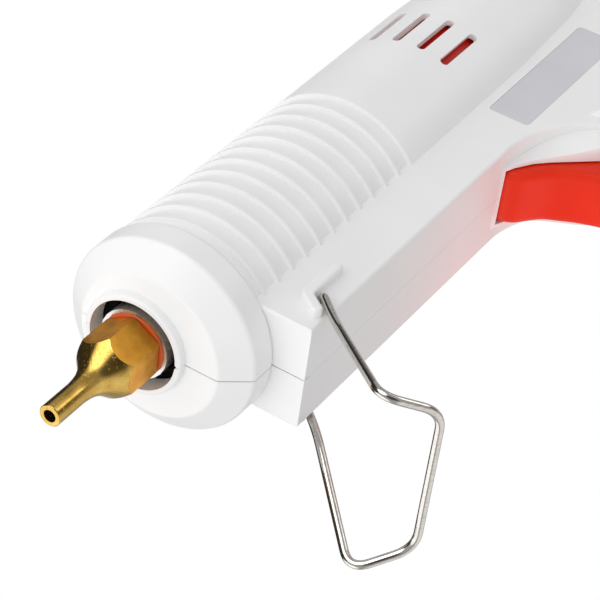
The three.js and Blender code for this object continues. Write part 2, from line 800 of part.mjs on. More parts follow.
// Nose: nozzle, washer, melt chamber and its insulators
function hexagon(corner, turn) {
  const shape = new THREE.Shape();
  const points = [];
  for (let i = 0; i < 6; i += 1) {
    const angle = turn + i * Math.PI / 3;
    points.push(new THREE.Vector2(corner * Math.cos(angle), corner * Math.sin(angle)));
  }
  shape.setFromPoints(points);
  return shape;
}

function nozzle() {
  const neckEnd = -nozzleReach + nozzleTipLength;
  const bellLength = -nozzleHexFront - neckEnd;
  const bell = bellShares.map(([along, grown]) => [neckEnd + along * bellLength,
    nozzleTipRadius + grown * (nozzleHexCorner - nozzleTipRadius)]);
  const profile = [[-nozzleReach, 0], [-nozzleReach, nozzleTipRadius], ...bell,
    [-nozzleHexRear, nozzleRimRadius], [-nozzleHexRear, nozzleShankRadius],
    [-nozzleHexRear + nozzleShankLength, nozzleShankRadius], [-nozzleHexRear + nozzleShankLength, 0]];
  const hexRange = barX(hexagon(nozzleHexCorner, nozzleHexTurn), -nozzleReach - overrun, gunRear);
  const bore = rodX(nozzleBoreRadius, -nozzleReach - overrun, gunRear, 0, smallSides);
  return turned(profile, 0, midSides).intersect(hexRange).subtract(bore);
}

function nozzleWasher() {
  const start = -nozzleHexRear + fitGap;
  const end = -chamberFront + chamberRimDepth - fitGap;
  const outer = chamberRimRadius - chamberRimWall - fitGap;
  return ringX(nozzleShankRadius + fitGap, outer, start, end, 0, roundSides);
}

function heaterChamber() {
  const flangeStart = capWall + insulatorLength + 2 * fitGap;
  const flangeEnd = flangeStart + chamberFlangeLength;
  const outer = [[-chamberFront, 0], [-chamberFront, chamberRimRadius], [flangeStart, chamberRimRadius],
    [flangeStart, chamberFlangeRadius], [flangeEnd, chamberFlangeRadius], [flangeEnd, chamberBodyRadius],
    [chamberBodyEnd, chamberBodyRadius], [chamberBodyEnd, chamberSpigotRadius],
    [chamberSpigotEnd, chamberSpigotRadius], [chamberSpigotEnd, 0]];
  const rimFloor = -chamberFront + chamberRimDepth;
  const inner = [[-chamberFront - overrun, 0], [-chamberFront - overrun, chamberRimRadius - chamberRimWall],
    [rimFloor, chamberRimRadius - chamberRimWall], [rimFloor, chamberThroatRadius],
    [nozzleShankLength, chamberThroatRadius], [chamberConeEnd, stickChannelRadius],
    [chamberSpigotEnd + overrun, stickChannelRadius], [chamberSpigotEnd + overrun, 0]];
  const saddle = blockOf([saddleStart, saddleStart + saddleLength], [-saddleHalfWidth, saddleHalfWidth],
    [-saddleDepth, 0]);
  return turned(outer, 0, midSides).add(saddle).subtract(turned(inner, 0, roundSides));
}

function frontInsulator() {
  const start = capWall + fitGap;
  return ringX(insulatorBoreRadius, insulatorRadius, start, start + insulatorLength, 0, midSides);
}

function rearInsulator() {
  return ringX(chamberBodyRadius + fitGap, rearInsulatorRadius, rearInsulatorStart,
    rearInsulatorStart + rearInsulatorLength, 0, roundSides);
}

const heaterStart = saddleStart + (saddleLength - heaterLength) / 2;

function heaterElement() {
  const top = -saddleDepth - fitGap;
  return blockOf([heaterStart, heaterStart + heaterLength], [-heaterHalfWidth, heaterHalfWidth],
    [top - heaterThickness, top]);
}

// A flat spring band round the chamber that presses the heating plate onto its saddle.
function heaterClip() {
  const inner = chamberBodyRadius + fitGap;
  const outer = inner + clipBandThickness;
  const floor = -saddleDepth - heaterThickness - 2 * fitGap;
  const shape = new THREE.Shape();
  shape.moveTo(-clipFloorHalfWidth - clipBandThickness, floor - clipBandThickness);
  shape.lineTo(clipFloorHalfWidth + clipBandThickness, floor - clipBandThickness);
  shape.lineTo(outer, -clipShoulder);
  shape.absarc(0, 0, outer, 0, Math.PI, false);
  shape.lineTo(-outer, -clipShoulder);
  shape.closePath();
  const hole = new THREE.Path();
  hole.moveTo(-clipFloorHalfWidth, floor);
  hole.lineTo(clipFloorHalfWidth, floor);
  hole.lineTo(inner, -clipShoulder);
  hole.absarc(0, 0, inner, 0, Math.PI, false);
  hole.lineTo(-inner, -clipShoulder);
  hole.closePath();
  shape.holes.push(hole);
  const middle = heaterStart + heaterLength / 2;
  return barX(shape, middle - clipBandLength / 2, middle + clipBandLength / 2);
}

function stickSleeve() {
  const start = chamberBodyEnd + fitGap;
  const step = chamberSpigotEnd + fitGap;
  return turned([[start, chamberSpigotRadius + fitGap], [start, sleeveRadius], [sleeveEnd, sleeveRadius],
    [sleeveEnd, stickChannelRadius], [step, stickChannelRadius], [step, chamberSpigotRadius + fitGap],
    [start, chamberSpigotRadius + fitGap]], 0, roundSides);
}

function sleeveClip() {
  const inner = sleeveRadius + fitGap;
  const start = (chamberBodyEnd + chamberSpigotEnd - sleeveClipLength) / 2;
  return ringX(inner, inner + sleeveClipWall, start, start + sleeveClipLength, 0, roundSides);
}

// Rear of the feed: guide tube and inlet collar
function guideTube() {
  return ringX(stickChannelRadius, tubeRadius, tubeStart, collarStart + collarTubeDepth, 0, roundSides);
}

function inletCollar() {
  const flangeStart = gunRear + fitGap;
  const end = flangeStart + collarFlangeLength;
  const pocketEnd = collarStart + collarTubeDepth + fitGap;
  return turned([[collarStart, tubeRadius + fitGap], [collarStart, collarRadius], [flangeStart, collarRadius],
    [flangeStart, collarFlangeRadius], [end - collarFlangeLength / 2, collarFlangeRadius],
    [end, collarFlangeRadius - collarFlangeLength / 2], [end, collarMouthRadius],
    [pocketEnd, stickChannelRadius], [pocketEnd, tubeRadius + fitGap],
    [collarStart, tubeRadius + fitGap]], 0, midSides);
}

// Carriage and jaw
function carriage() {
  const end = carriageStart + carriageLength;
  const half = carriageHalfHeight;
  const outline = roundedRectangle(carriageStart, end, -half, half, carriageRound);
  const finTop = cavityRadius - barrelDrop - finHeadroom;
  const fin = roundedRectangle(carriageStart + carriageRound, end - carriageRound, 0, finTop, carriageRound);
  const lugBottom = -springDepth - springRadius;
  const lug = blockOf([end - carriageRound - springLugLength, end - carriageRound],
    [-springLugHalfWidth, springLugHalfWidth], [lugBottom, -carriageHalfHeight + carriageRound]);
  const pocket = blockOf([carriageStart + pocketStart, carriageStart + pocketStart + pocketLength],
    [-jawHalfWidth - runningGap, jawHalfWidth + runningGap], [-carriageHalfHeight - overrun, 0]);
  return plateY(outline, -carriageHalfWidth, carriageHalfWidth, carriageRim)
    .add(plateY(fin, -finHalfWidth, finHalfWidth, 0))
    .add(lug)
    .subtract(rodX(stickChannelRadius, carriageStart - overrun, end + overrun, 0, roundSides))
    .subtract(rodX(tubeRadius + runningGap, carriageStart + carriageStep, end + overrun, 0, roundSides))
    .subtract(pocket)
    .subtract(rodY(jawPinRadius + fitGap, -carriageHalfWidth - overrun, carriageHalfWidth + overrun,
      jawPivot, smallSides));
}

function jawNoseOutline() {
  const top = -stickChannelRadius - fitGap;
  const tip = jawPivot.x - jawNoseLength;
  const pitch = (jawNoseLength - jawHubRadius) / jawToothCount;
  const points = [new THREE.Vector2(jawPivot.x, -jawPivotDepth - jawHubRadius),
    new THREE.Vector2(jawPivot.x, top - jawToothHeight)];
  for (let i = 0; i < jawToothCount; i += 1) {
    const valley = jawPivot.x - jawHubRadius - i * pitch;
    points.push(new THREE.Vector2(valley, top - jawToothHeight), new THREE.Vector2(valley - pitch, top));
  }
  points.push(new THREE.Vector2(tip, top - jawNoseThickness));
  return outlineOf(points);
}

function gripperJaw() {
  const hole = jawPinRadius + fitGap;
  return plateY(jawNoseOutline(), -jawHalfWidth, jawHalfWidth, 0)
    .add(rodY(jawHubRadius, -jawHalfWidth, jawHalfWidth, jawPivot, smallSides))
    .add(plateY(stadium(jawPivot, jawTail, jawHubRadius), -jawHalfWidth, jawHalfWidth, 0))
    .subtract(rodY(hole, -jawHalfWidth - overrun, jawHalfWidth + overrun, jawPivot, smallSides))
    .subtract(rodY(hole, -jawHalfWidth - overrun, jawHalfWidth + overrun, jawTail, smallSides));
}

function jawPin() {
  return rodY(jawPinRadius, -carriageHalfWidth, carriageHalfWidth, jawPivot, smallSides);
}

function jawLinkPin() {
  const reach = linkOuterY + fitGap + pinHeadLength;
  return rodY(linkPinRadius, -reach, reach, jawTail, smallSides);
}

// Trigger, links and pins
function triggerOutline() {
  const face = shareOutline(triggerFaceShares, triggerPivot, triggerReach);
  const back = shareOutline(triggerBackShares, triggerPivot, triggerReach);
  return outlineOf([...new THREE.SplineCurve(face).getSpacedPoints(triggerFaceSteps), ...back]);
}

function trigger() {
  let body = plateY(triggerOutline(), -triggerHalfWidth, triggerHalfWidth, triggerRound)
    .add(rodY(triggerHubRadius, -triggerHalfWidth, triggerHalfWidth, triggerPivot, roundSides));
  const arm = stadium(triggerPivot, armPin, triggerArmHalfWidth);
  body = body.add(plateY(arm, -armOuterY, -armInnerY, 0)).add(plateY(arm, armInnerY, armOuterY, 0));
  return body
    .subtract(rodY(pivotPinRadius + fitGap, -railHalfWidth, railHalfWidth, triggerPivot, roundSides))
    .subtract(rodY(linkPinRadius + fitGap, -railHalfWidth, railHalfWidth, armPin, smallSides));
}

function triggerPin() {
  const reach = railHalfWidth - shellWall / 3 - fitGap;
  return rodY(pivotPinRadius, -reach, reach, triggerPivot, roundSides);
}

function link(side) {
  const ys = [side * linkInnerY, side * linkOuterY].sort((a, b) => a - b);
  const hole = linkPinRadius + fitGap;
  return plateY(stadium(armPin, jawTail, linkHalfWidth), ys[0], ys[1], 0)
    .subtract(rodY(hole, ys[0] - overrun, ys[1] + overrun, armPin, smallSides))
    .subtract(rodY(hole + openPivotPlay, ys[0] - overrun, ys[1] + overrun, jawTail, smallSides));
}

function linkPin(side) {
  const headStart = armOuterY + fitGap;
  const end = headStart + pinHeadLength;
  const ys = [side * linkInnerY, side * end].sort((a, b) => a - b);
  const headYs = [side * headStart, side * end].sort((a, b) => a - b);
  return rodY(linkPinRadius, ys[0], ys[1], armPin, smallSides)
    .add(rodY(pinHeadRadius, headYs[0], headYs[1], armPin, smallSides));
}

// The return spring, one helical tube along X between the carriage's lug and its post.
function returnSpring() {
  const start = carriageStart + carriageLength - carriageRound + fitGap + springWireRadius;
  const end = springPostX - springPostRadius - fitGap - springWireRadius;
  const rings = springCurls * springCurlSteps;
  const pitch = (end - start) / springCurls;
  const leastGap = pitch - 2 * springWireRadius;
  console.log(`return spring: least gap to itself ${leastGap.toFixed(2)} mm`);
  const positions = [];
  const index = [];
  for (let i = 0; i <= rings; i += 1) {
    const angle = 2 * Math.PI * i / springCurlSteps;
    const x = start + (end - start) * i / rings;
    for (let j = 0; j < springWireSides; j += 1) {
      const around = 2 * Math.PI * j / springWireSides;
      const radius = springRadius + springWireRadius * Math.cos(around);
      positions.push(x + springWireRadius * Math.sin(around), radius * Math.cos(angle),
        radius * Math.sin(angle) - springDepth);
      if (i === rings) continue;
      const next = (j + 1) % springWireSides;
      const a = i * springWireSides + j;
      const b = i * springWireSides + next;
      index.push(a, b, a + springWireSides, b, b + springWireSides, a + springWireSides);
    }
  }
  for (let j = 1; j < springWireSides - 1; j += 1) {
    const last = rings * springWireSides;
    index.push(0, j + 1, j, last, last + j, last + j + 1);
  }
  const geometry = new THREE.BufferGeometry();
  geometry.setAttribute('position', new THREE.Float32BufferAttribute(positions, 3));
  geometry.setIndex(index);
  return solidOf(geometry);
}

// Stand and label
function wireStand() {
  const half = [
    new THREE.Vector3(standPivotX, standEndY, -standPivotDepth),
    new THREE.Vector3(standPivotX, standEarY, -standPivotDepth),
    new THREE.Vector3(standKinkX, standEarY, -standKinkDepth),
    new THREE.Vector3(standCornerX, standCornerY, -standCornerDepth),
    new THREE.Vector3(standToeX, standToeY, -standToeDepth),
  ];
  const mirrored = half.map((point) => new THREE.Vector3(point.x, -point.y, point.z)).reverse();
  return wireAlong([...half, ...mirrored], wireBend, wireRadius, wireSides);
}

function labelPlate() {
  const back = -railHalfWidth + labelThickness;
  return plateY(labelOutline(fitGap), -railHalfWidth, back, 0);
}

// Screws, terminal block, leads and gland
function housingScrew(place) {
  const head = screwHeadY + fitGap;
  return rodY(screwRadius, -screwTipY, head + fitGap, place, smallSides)
    .add(rodY(screwHeadRadius, head, head + screwHeadLength, place, roundSides));
}

const terminalSetback = gripBossSetbackShare * gripDepth + bossRadius + fitGap + terminalDepth / 2;
const terminalPlace = gripPlace(terminalAlongShare, terminalSetback / gripDepth);

function terminalBlock() {
  const geometry = new THREE.BoxGeometry(terminalDepth, 2 * terminalHalfWidth, terminalLength);
  geometry.rotateY(-handleLean);
  geometry.translate(terminalPlace.x, -gripInnerHalf + fitGap + terminalHalfWidth, terminalPlace.y);
  return solidOf(geometry);
}

function heaterLead(side) {
  const top = terminalPlace.clone().addScaledVector(downHandle, -terminalLength / 2 - fitGap);
  const intoHandle = crossing(top, downHandle, new THREE.Vector2(0, -leadDepth), new THREE.Vector2(1, 0));
  const start = heaterStart + heaterLength + fitGap;
  const heaterLevel = -saddleDepth - fitGap - heaterThickness / 2;
  const inner = side * heaterHalfWidth / 2;
  const terminalY = -gripInnerHalf + fitGap + terminalHalfWidth + inner;
  const corners = [
    new THREE.Vector3(start, inner, heaterLevel),
    new THREE.Vector3(start + leadStub, inner, heaterLevel),
    new THREE.Vector3(start + leadStub, side * leadY, -leadDepth),
    new THREE.Vector3(intoHandle.x, side * leadY, -leadDepth),
    new THREE.Vector3(top.x, terminalY, top.y),
  ];
  return wireAlong(corners, leadBend, leadRadius, leadSides);
}

function cordGland() {
  const face = inletSpigotReach + fitGap;
  return rodAtInlet(inletBoreRadius, face - glandLength, face + glandFlangeLength / 2, roundSides)
    .add(rodAtInlet(glandFlangeRadius, face, face + glandFlangeLength, roundSides))
    .subtract(rodAtInlet(glandBoreRadius, -glandLength, face + glandFlangeLength + overrun, roundSides));
}

// Assembly
const group = new THREE.Group();
const gun = new THREE.Group();
group.add(gun);

function place(name, solid, finish) {
  const mesh = new THREE.Mesh(geometryOf(solid), new THREE.MeshStandardMaterial(finish));
  mesh.name = name;
  gun.add(mesh);
}

place('housing_left', housingHalf(-1), finishes.whiteShell);
place('housing_right', housingHalf(1), finishes.whiteShell);
place('nozzle', nozzle(), finishes.brass);
place('nozzle_washer', nozzleWasher(), finishes.silicone);
place('heater_chamber', heaterChamber(), finishes.aluminium);
place('front_insulator', frontInsulator(), finishes.blackResin);
place('rear_insulator', rearInsulator(), finishes.blackResin);
place('heater_element', heaterElement(), finishes.ceramic);
place('heater_clip', heaterClip(), finishes.steel);
place('stick_sleeve', stickSleeve(), finishes.silicone);
place('sleeve_clip', sleeveClip(), finishes.steel);
place('guide_tube', guideTube(), finishes.greyNylon);
place('inlet_collar', inletCollar(), finishes.greyNylon);
place('carriage', carriage(), finishes.redNylon);
place('gripper_jaw', gripperJaw(), finishes.steel);
place('jaw_pin', jawPin(), finishes.steel);
place('jaw_link_pin', jawLinkPin(), finishes.steel);
place('trigger', trigger(), finishes.orangePlastic);
place('trigger_pin', triggerPin(), finishes.steel);
place('link_left', link(-1), finishes.steel);
place('link_right', link(1), finishes.steel);
place('link_pin_left', linkPin(-1), finishes.steel);
place('link_pin_right', linkPin(1), finishes.steel);
place('return_spring', returnSpring(), finishes.steel);
place('wire_stand', wireStand(), finishes.steel);
place('label_plate', labelPlate(), finishes.greyLabel);
place('terminal_block', terminalBlock(), finishes.ceramic);
place('heater_lead_left', heaterLead(-1), finishes.paleSilicone);
place('heater_lead_right', heaterLead(1), finishes.paleSilicone);
place('cord_gland', cordGland(), finishes.blackRubber);
bossPlaces().forEach((spot, i) => place(`housing_screw_${i + 1}`, housingScrew(spot), finishes.steel));

// Standing: the gun is tipped about its Y axis, raised onto the surface and centred on its box.
gun.rotation.y = -standTilt;
group.updateMatrixWorld(true);
const box = new THREE.Box3().setFromObject(gun, true);
gun.position.set(-(box.min.x + box.max.x) / 2, -(box.min.y + box.max.y) / 2, -box.min.z);

export default group;
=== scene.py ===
"""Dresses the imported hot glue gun: smooth moulded shells, turned brass, bent wire and their finishes.

Sizes are in millimetres in the gun's own frame, in which its pieces are modelled before they are tipped
onto the stand: X from the nose cap's flat face to the rear, Y from the left shell to the right, Z up.
"""
import json
import math

import bpy
from mathutils import Matrix, Vector


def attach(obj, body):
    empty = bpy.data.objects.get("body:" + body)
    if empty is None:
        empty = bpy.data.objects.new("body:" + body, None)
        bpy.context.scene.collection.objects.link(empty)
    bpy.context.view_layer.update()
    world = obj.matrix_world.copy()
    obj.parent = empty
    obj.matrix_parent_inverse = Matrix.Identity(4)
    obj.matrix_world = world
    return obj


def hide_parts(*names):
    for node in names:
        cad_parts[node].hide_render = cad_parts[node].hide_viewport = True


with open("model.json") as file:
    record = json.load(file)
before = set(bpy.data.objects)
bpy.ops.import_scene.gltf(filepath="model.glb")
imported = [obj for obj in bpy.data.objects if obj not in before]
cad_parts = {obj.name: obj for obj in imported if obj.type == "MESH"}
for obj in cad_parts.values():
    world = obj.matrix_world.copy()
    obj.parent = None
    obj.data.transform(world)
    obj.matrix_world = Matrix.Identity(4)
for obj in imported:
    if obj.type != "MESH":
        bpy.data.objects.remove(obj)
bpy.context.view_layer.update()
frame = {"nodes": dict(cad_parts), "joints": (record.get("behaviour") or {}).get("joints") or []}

MM = 0.001
WELD = 1e-6

# The gun's frame, from the stand's pivot and the way the carriage slides
STAND_PIVOT = Vector((23.5, 0, -32.3))
joints = {joint["name"]: joint for joint in frame["joints"]}
BACK = -Vector(joints["carriage_slide"]["axis"]).normalized()
ACROSS = Vector((0, 1, 0))
UP = BACK.cross(ACROSS)
TURN = Matrix((BACK, ACROSS, UP)).transposed()
ORIGIN = Vector(joints["stand_fold"]["pos_m"]) - TURN @ STAND_PIVOT * MM
GUN = Matrix.Translation(ORIGIN) @ TURN.to_4x4()
TILT = math.atan2(BACK.z, BACK.x)

# Nose cap
CAP_RADIUS = 25
CAP_FACE_RADIUS = 18.5
CAP_CHAMFER = 5.35
CAP_LENGTH = 12.8
CAP_DROP = 3.1
CAP_WALL = 3
CAP_EASE = 1.6
CAP_REAR_EASE = 0.9
LIP_RADIUS = 13
LIP_PROUD = 2.2
LIP_EASE = 0.7
MOUTH_RADIUS = 11.6

# Ribbed barrel
BARREL_RADIUS = 23.9
BARREL_DROP = 2.6
BARREL_WALL = 2.4
RIB_COUNT = 12
FIRST_RIB = 17
RIB_PITCH = 5.93
RIB_CREST = 1.0
RIB_FLANK = 0.28
RIB_EASE = 0.22
GROOVE_DEPTH = 0.8
GUN_REAR = 206
TAIL_SHARES = [(0.45, 0.995), (0.68, 0.95), (0.84, 0.87), (0.95, 0.77), (1, 0.66)]
TAIL_EASE = 26
TAIL_END_EASE = 2
GROOVE_FLOOR = BARREL_RADIUS - GROOVE_DEPTH
SMOOTH_START = FIRST_RIB + (RIB_COUNT - 1) * RIB_PITCH
SMOOTH_LENGTH = GUN_REAR - SMOOTH_START

# Vents
VENT_COUNT = 4
VENT_START = 113.8
VENT_LENGTH = 16.8
VENT_WIDTH = 2.3
VENT_LOWEST = -19
VENT_PITCH = 17

# Rail, arch, handle and tail
SHELL_WALL = 2.5
RAIL_HALF = 14.4
RAIL_DEPTH = 36.5
RAIL_EASE = 0.8
ARCH_START = 104
ARCH_RADIUS = 30
HANDLE_LEAN = math.radians(18)
GRIP_DEPTH = 43
GRIP_HALF = 16
GRIP_EASE = 6
GRIP_TOP = 43
WEB_RADIUS = 14
TAIL_UNDERSIDE = 22.5
TAIL_RISE = 11
SEAM = 0.08
NOSE_SEAM = 0.3
MOUTH_NOTCH = 0.45

# Clips and wire stand
WIRE_RADIUS = 1.05
WIRE_BEND = 5
WIRE_BEND_LIMIT = 2.2
WIRE_BEND_STEPS = 10
WIRE_ROUNDNESS = 8
STAND_END_Y = 11
STAND_EAR_Y = 16.4
STAND_POINTS = [(17, 16.4, -39.5), (-7.8, 25.5, -64.7), (2.2, 20, -75)]
CLIP_THICKNESS = 2.8
CLIP_PROUD = 2.5
CLIP_EASE = 0.8
CLIP_END_EASE = 1.25
CLIP_CORNER_EASE = 2.4
CLIP_ARM = 12.5
CLIP_STOP = 4.6

# Label plate
LABEL_START = 115.6
LABEL_LENGTH = 50
LABEL_TOP = 24.1
LABEL_HEIGHT = 11.3
LABEL_THICKNESS = 0.6
LABEL_CORNER = 1.2
LABEL_GAP = 0.06
LABEL_EASE = 0.15

# Nozzle
NOZZLE_REACH = 33
NOZZLE_TIP_RADIUS = 2.75
NOZZLE_BORE = 1.6
NOZZLE_TIP_LENGTH = 9.5
HEX_FRONT = 11.6
HEX_REAR = 2.2
HEX_CORNER = 8.15
NOZZLE_RIM_RADIUS = 8.6
SHANK_RADIUS = 3.9
SHANK_LENGTH = 6.6
NOZZLE_TIP_EASE = 0.25
NOZZLE_RIM_EASE = 0.4
HEX_TURN = math.radians(30)
HEX_MARGIN = 5
FLAT_TOLERANCE = 0.05
LEVEL_TOLERANCE = 0.02
NORMAL_TOLERANCE = 0.01
BELL_STEPS = 30
BELL_SHARES = [(0, 0), (0.16, 0.03), (0.33, 0.1), (0.52, 0.27), (0.7, 0.55), (0.86, 0.84), (1, 1)]

# Melt chamber's rim, washer and front insulator
CHAMBER_FRONT = 1.5
RIM_RADIUS = 9
RIM_WALL = 0.8
RIM_DEPTH = 2.6
WASHER_EASE = 0.35
INSULATOR_RADIUS = 14
INSULATOR_LENGTH = 4.7
INSULATOR_EASE = 0.3

# Trigger
TRIGGER_PIVOT = Vector((107, -30))
TRIGGER_REACH = 59.5
TRIGGER_HALF = 7.9
TRIGGER_EASE = 2.4
TRIGGER_FACE_STEPS = 72
TRIGGER_FACE_SHARES = [(-0.057, -0.076), (-0.058, -0.134), (-0.032, -0.188), (0.012, -0.224),
                       (0.071, -0.271), (0.112, -0.335), (0.157, -0.418), (0.195, -0.535),
                       (0.185, -0.689), (0.138, -0.832), (0.114, -0.916), (0.128, -0.975), (0.193, -0.997)]
TRIGGER_BACK_SHARES = [(0.622, -0.829), (0.655, -0.782), (0.538, -0.437), (0.303, -0.134), (0.134, -0.017)]
HUB_RADIUS = 5
PIN_HOLE = 2.3
ARM_PIN = Vector((110.1, -13.5))
ARM_LOW = 5.1
ARM_HIGH = 6.7
ARM_HALF = 2.6
ARM_HOLE = 1.5
SLOT_SHARES = [(0.36, -0.067), (0.8, -0.8), (0.62, -0.87), (0.193, -1.08)]
SLOT_FRONT = 3.9
SLOT_PLAY = 0.4

# Handle's prow, flared from the trigger's slot out to the rail's width
PROW_EASE = 4
PROW_SHARES = [(-0.1, -0.108), (-0.02, -0.138), (0.06, -0.184), (0.12, -0.236), (0.2, -0.318),
               (0.28, -0.4), (0.4, -0.475), (0.56, -0.46), (0.56, 0.1), (-0.1, 0.1)]
PROW_PLAN_STEPS = 24
PROW_PLAN_SHARES = [(-0.12, 0.64), (0.03, 0.65), (0.1, 0.67), (0.18, 0.74), (0.28, 0.85),
                    (0.42, 0.94), (0.6, 1)]

# Screws and their holes in the right shell
SCREW_HEAD_RADIUS = 2.9
SCREW_HEAD_Y = 8
RAIL_SCREWS = [(46, -29.6), (92, -29.6), (194, -15)]
GRIP_SCREW_SHARES = [0.42, 0.86]
GRIP_SCREW_SETBACK = 0.42

# Cord inlet
INLET_HEIGHT = 12.5
SPIGOT_RADIUS = 8.2
SPIGOT_REACH = 8
INLET_BORE = 5.6

# Collar's seat
COLLAR_RADIUS = 10.6

# Carriage's wings, the red behind the vents
CARRIAGE_HALF = 9.5
WING_RADIUS = 21.1
WING_WALL = 1.6
WING_WEB = 2.4
WING_START = 108
WING_LENGTH = 36
WING_BOTTOM = -13
WING_TOP = 17
RELIEF_RADIUS = 22.2
RELIEF_LEAD = 6

FIT = 0.3
OVERRUN = 2
ROUND_SIDES = 160
SMALL_SIDES = 64
ARCH_STEPS = 24
END_STEPS = 16
CORNER_STEPS = 6
FINE_CORNER_STEPS = 4
RIM_STEPS = 5
FINE_RIM_STEPS = 8
GRIP_RIM_STEPS = 10
LABEL_RIM_STEPS = 3
EASE_LIMIT = 0.49
SMOOTH_ANGLE = 32
NOZZLE_SMOOTH_ANGLE = 24
WIRE_SMOOTH_ANGLE = 50

# Points that several pieces share, in the side view
ARCH_CENTRE = Vector((ARCH_START, -RAIL_DEPTH - ARCH_RADIUS))
DOWN_HANDLE = Vector((math.sin(HANDLE_LEAN), -math.cos(HANDLE_LEAN)))
ACROSS_HANDLE = Vector((math.cos(HANDLE_LEAN), math.sin(HANDLE_LEAN)))
ALONG_GROUND = Vector((math.cos(TILT), -math.sin(TILT)))
OFF_GROUND = Vector((math.sin(TILT), math.cos(TILT)))
LEVEL = Vector((1, 0))


def ground_point(inset):
    x, y, z = STAND_POINTS[-1]
    return Vector((x, z)) + OFF_GROUND * (inset - WIRE_RADIUS)


def grip_front(inset):
    return ARCH_CENTRE + ACROSS_HANDLE * (ARCH_RADIUS + inset)


def grip_back(inset):
    return ARCH_CENTRE + ACROSS_HANDLE * (ARCH_RADIUS + GRIP_DEPTH - inset)


def crossing(point, direction, other, other_direction):
    """The point where two lines of the side view meet."""
    between = other - point
    along = between.cross(other_direction) / direction.cross(other_direction)
    return point + direction * along


def arc(centre, radius, start, end, steps):
    """Points along an arc, from one angle to another in radians."""
    angles = [start + (end - start) * i / steps for i in range(steps + 1)]
    return [(centre[0] + radius * math.cos(a), centre[1] + radius * math.sin(a)) for a in angles]


def eased(corners, closed=False, steps=CORNER_STEPS):
    """Rounds the corners of an outline given as (x, z, radius)."""
    points = []
    count = len(corners)
    for i, (x, z, radius) in enumerate(corners):
        here = Vector((x, z))
        if radius == 0 or (not closed and i in (0, count - 1)):
            points.append((x, z))
            continue
        before = Vector(corners[i - 1][:2]) - here
        after = Vector(corners[(i + 1) % count][:2]) - here
        half = before.angle(after) / 2
        reach = min(radius / math.tan(half), before.length * EASE_LIMIT, after.length * EASE_LIMIT)
        start = here + before.normalized() * reach
        end = here + after.normalized() * reach
        centre = here + (before.normalized() + after.normalized()).normalized() * reach / math.cos(half)
        a, b = start - centre, end - centre
        turn = a.angle_signed(b)
        for k in range(steps + 1):
            angle = -turn * k / steps
            spoke = Vector((a.x * math.cos(angle) - a.y * math.sin(angle),
                            a.x * math.sin(angle) + a.y * math.cos(angle)))
            points.append(tuple(centre + spoke))
    return points


def curved(points, count):
    """Points evenly spread along a smooth curve through the given ones."""
    knots = [Vector(p) for p in points]
    ends = [2 * knots[0] - knots[1]] + knots + [2 * knots[-1] - knots[-2]]
    result = []
    for k in range(count + 1):
        place = k / count * (len(knots) - 1)
        i = min(int(place), len(knots) - 2)
        t = place - i
        p0, p1, p2, p3 = ends[i:i + 4]
        result.append(tuple(0.5 * ((2 * p1) + (p2 - p0) * t + (2 * p0 - 5 * p1 + 4 * p2 - p3) * t * t
                                   + (3 * p1 - p0 - 3 * p2 + p3) * t ** 3)))
    return result


# Modelling steps
def select_only(*pieces):
    bpy.ops.object.select_all(action="DESELECT")
    for piece in pieces:
        piece.select_set(True)
    bpy.context.view_layer.objects.active = pieces[-1]


def draw_line(name, points):
    """Starts a piece as one point, extruded from place to place, and leaves it in edit mode."""
    bpy.ops.object.select_all(action="DESELECT")
    bpy.ops.mesh.primitive_plane_add(size=MM)
    piece = bpy.context.object
    piece.name = name
    bpy.ops.object.mode_set(mode="EDIT")
    bpy.ops.mesh.select_all(action="SELECT")
    bpy.ops.mesh.merge(type="CENTER")
    places = [Vector(p) * MM for p in points]
    bpy.ops.transform.translate(value=places[0])
    for before, after in zip(places, places[1:]):
        bpy.ops.mesh.extrude_region_move(TRANSFORM_OT_translate={"value": after - before})
    bpy.ops.mesh.select_all(action="SELECT")
    return piece


def close_mesh():
    bpy.ops.mesh.select_all(action="SELECT")
    bpy.ops.mesh.remove_doubles(threshold=WELD)
    bpy.ops.mesh.normals_make_consistent(inside=False)
    bpy.ops.object.mode_set(mode="OBJECT")


def extruded(name, points, along):
    """A closed outline, filled and drawn out along a direction."""
    piece = draw_line(name, points + points[:1])
    bpy.ops.mesh.remove_doubles(threshold=WELD)
    bpy.ops.mesh.select_all(action="SELECT")
    bpy.ops.mesh.edge_face_add()
    shift = tuple(v * MM for v in along)
    bpy.ops.mesh.extrude_region_move(TRANSFORM_OT_translate={"value": shift})
    close_mesh()
    return piece


def settle(piece, place):
    """Moves and turns a piece by a matrix, which its mesh takes up."""
    select_only(piece)
    piece.matrix_world = place
    bpy.ops.object.transform_apply(location=True, rotation=True, scale=True)


def turned(name, profile, height=0, sides=ROUND_SIDES):
    """A piece turned about a line along X, from (x, radius) pairs."""
    piece = draw_line(name, [(x, 0, radius + height) for x, radius in profile])
    bpy.ops.mesh.spin(steps=sides, angle=2 * math.pi, center=(0, 0, height * MM), axis=(1, 0, 0))
    close_mesh()
    return piece


def round_bar(name, start, end, radius, height=0, sides=ROUND_SIDES):
    return turned(name, [(start, 0), (start, radius), (end, radius), (end, 0)], height, sides)


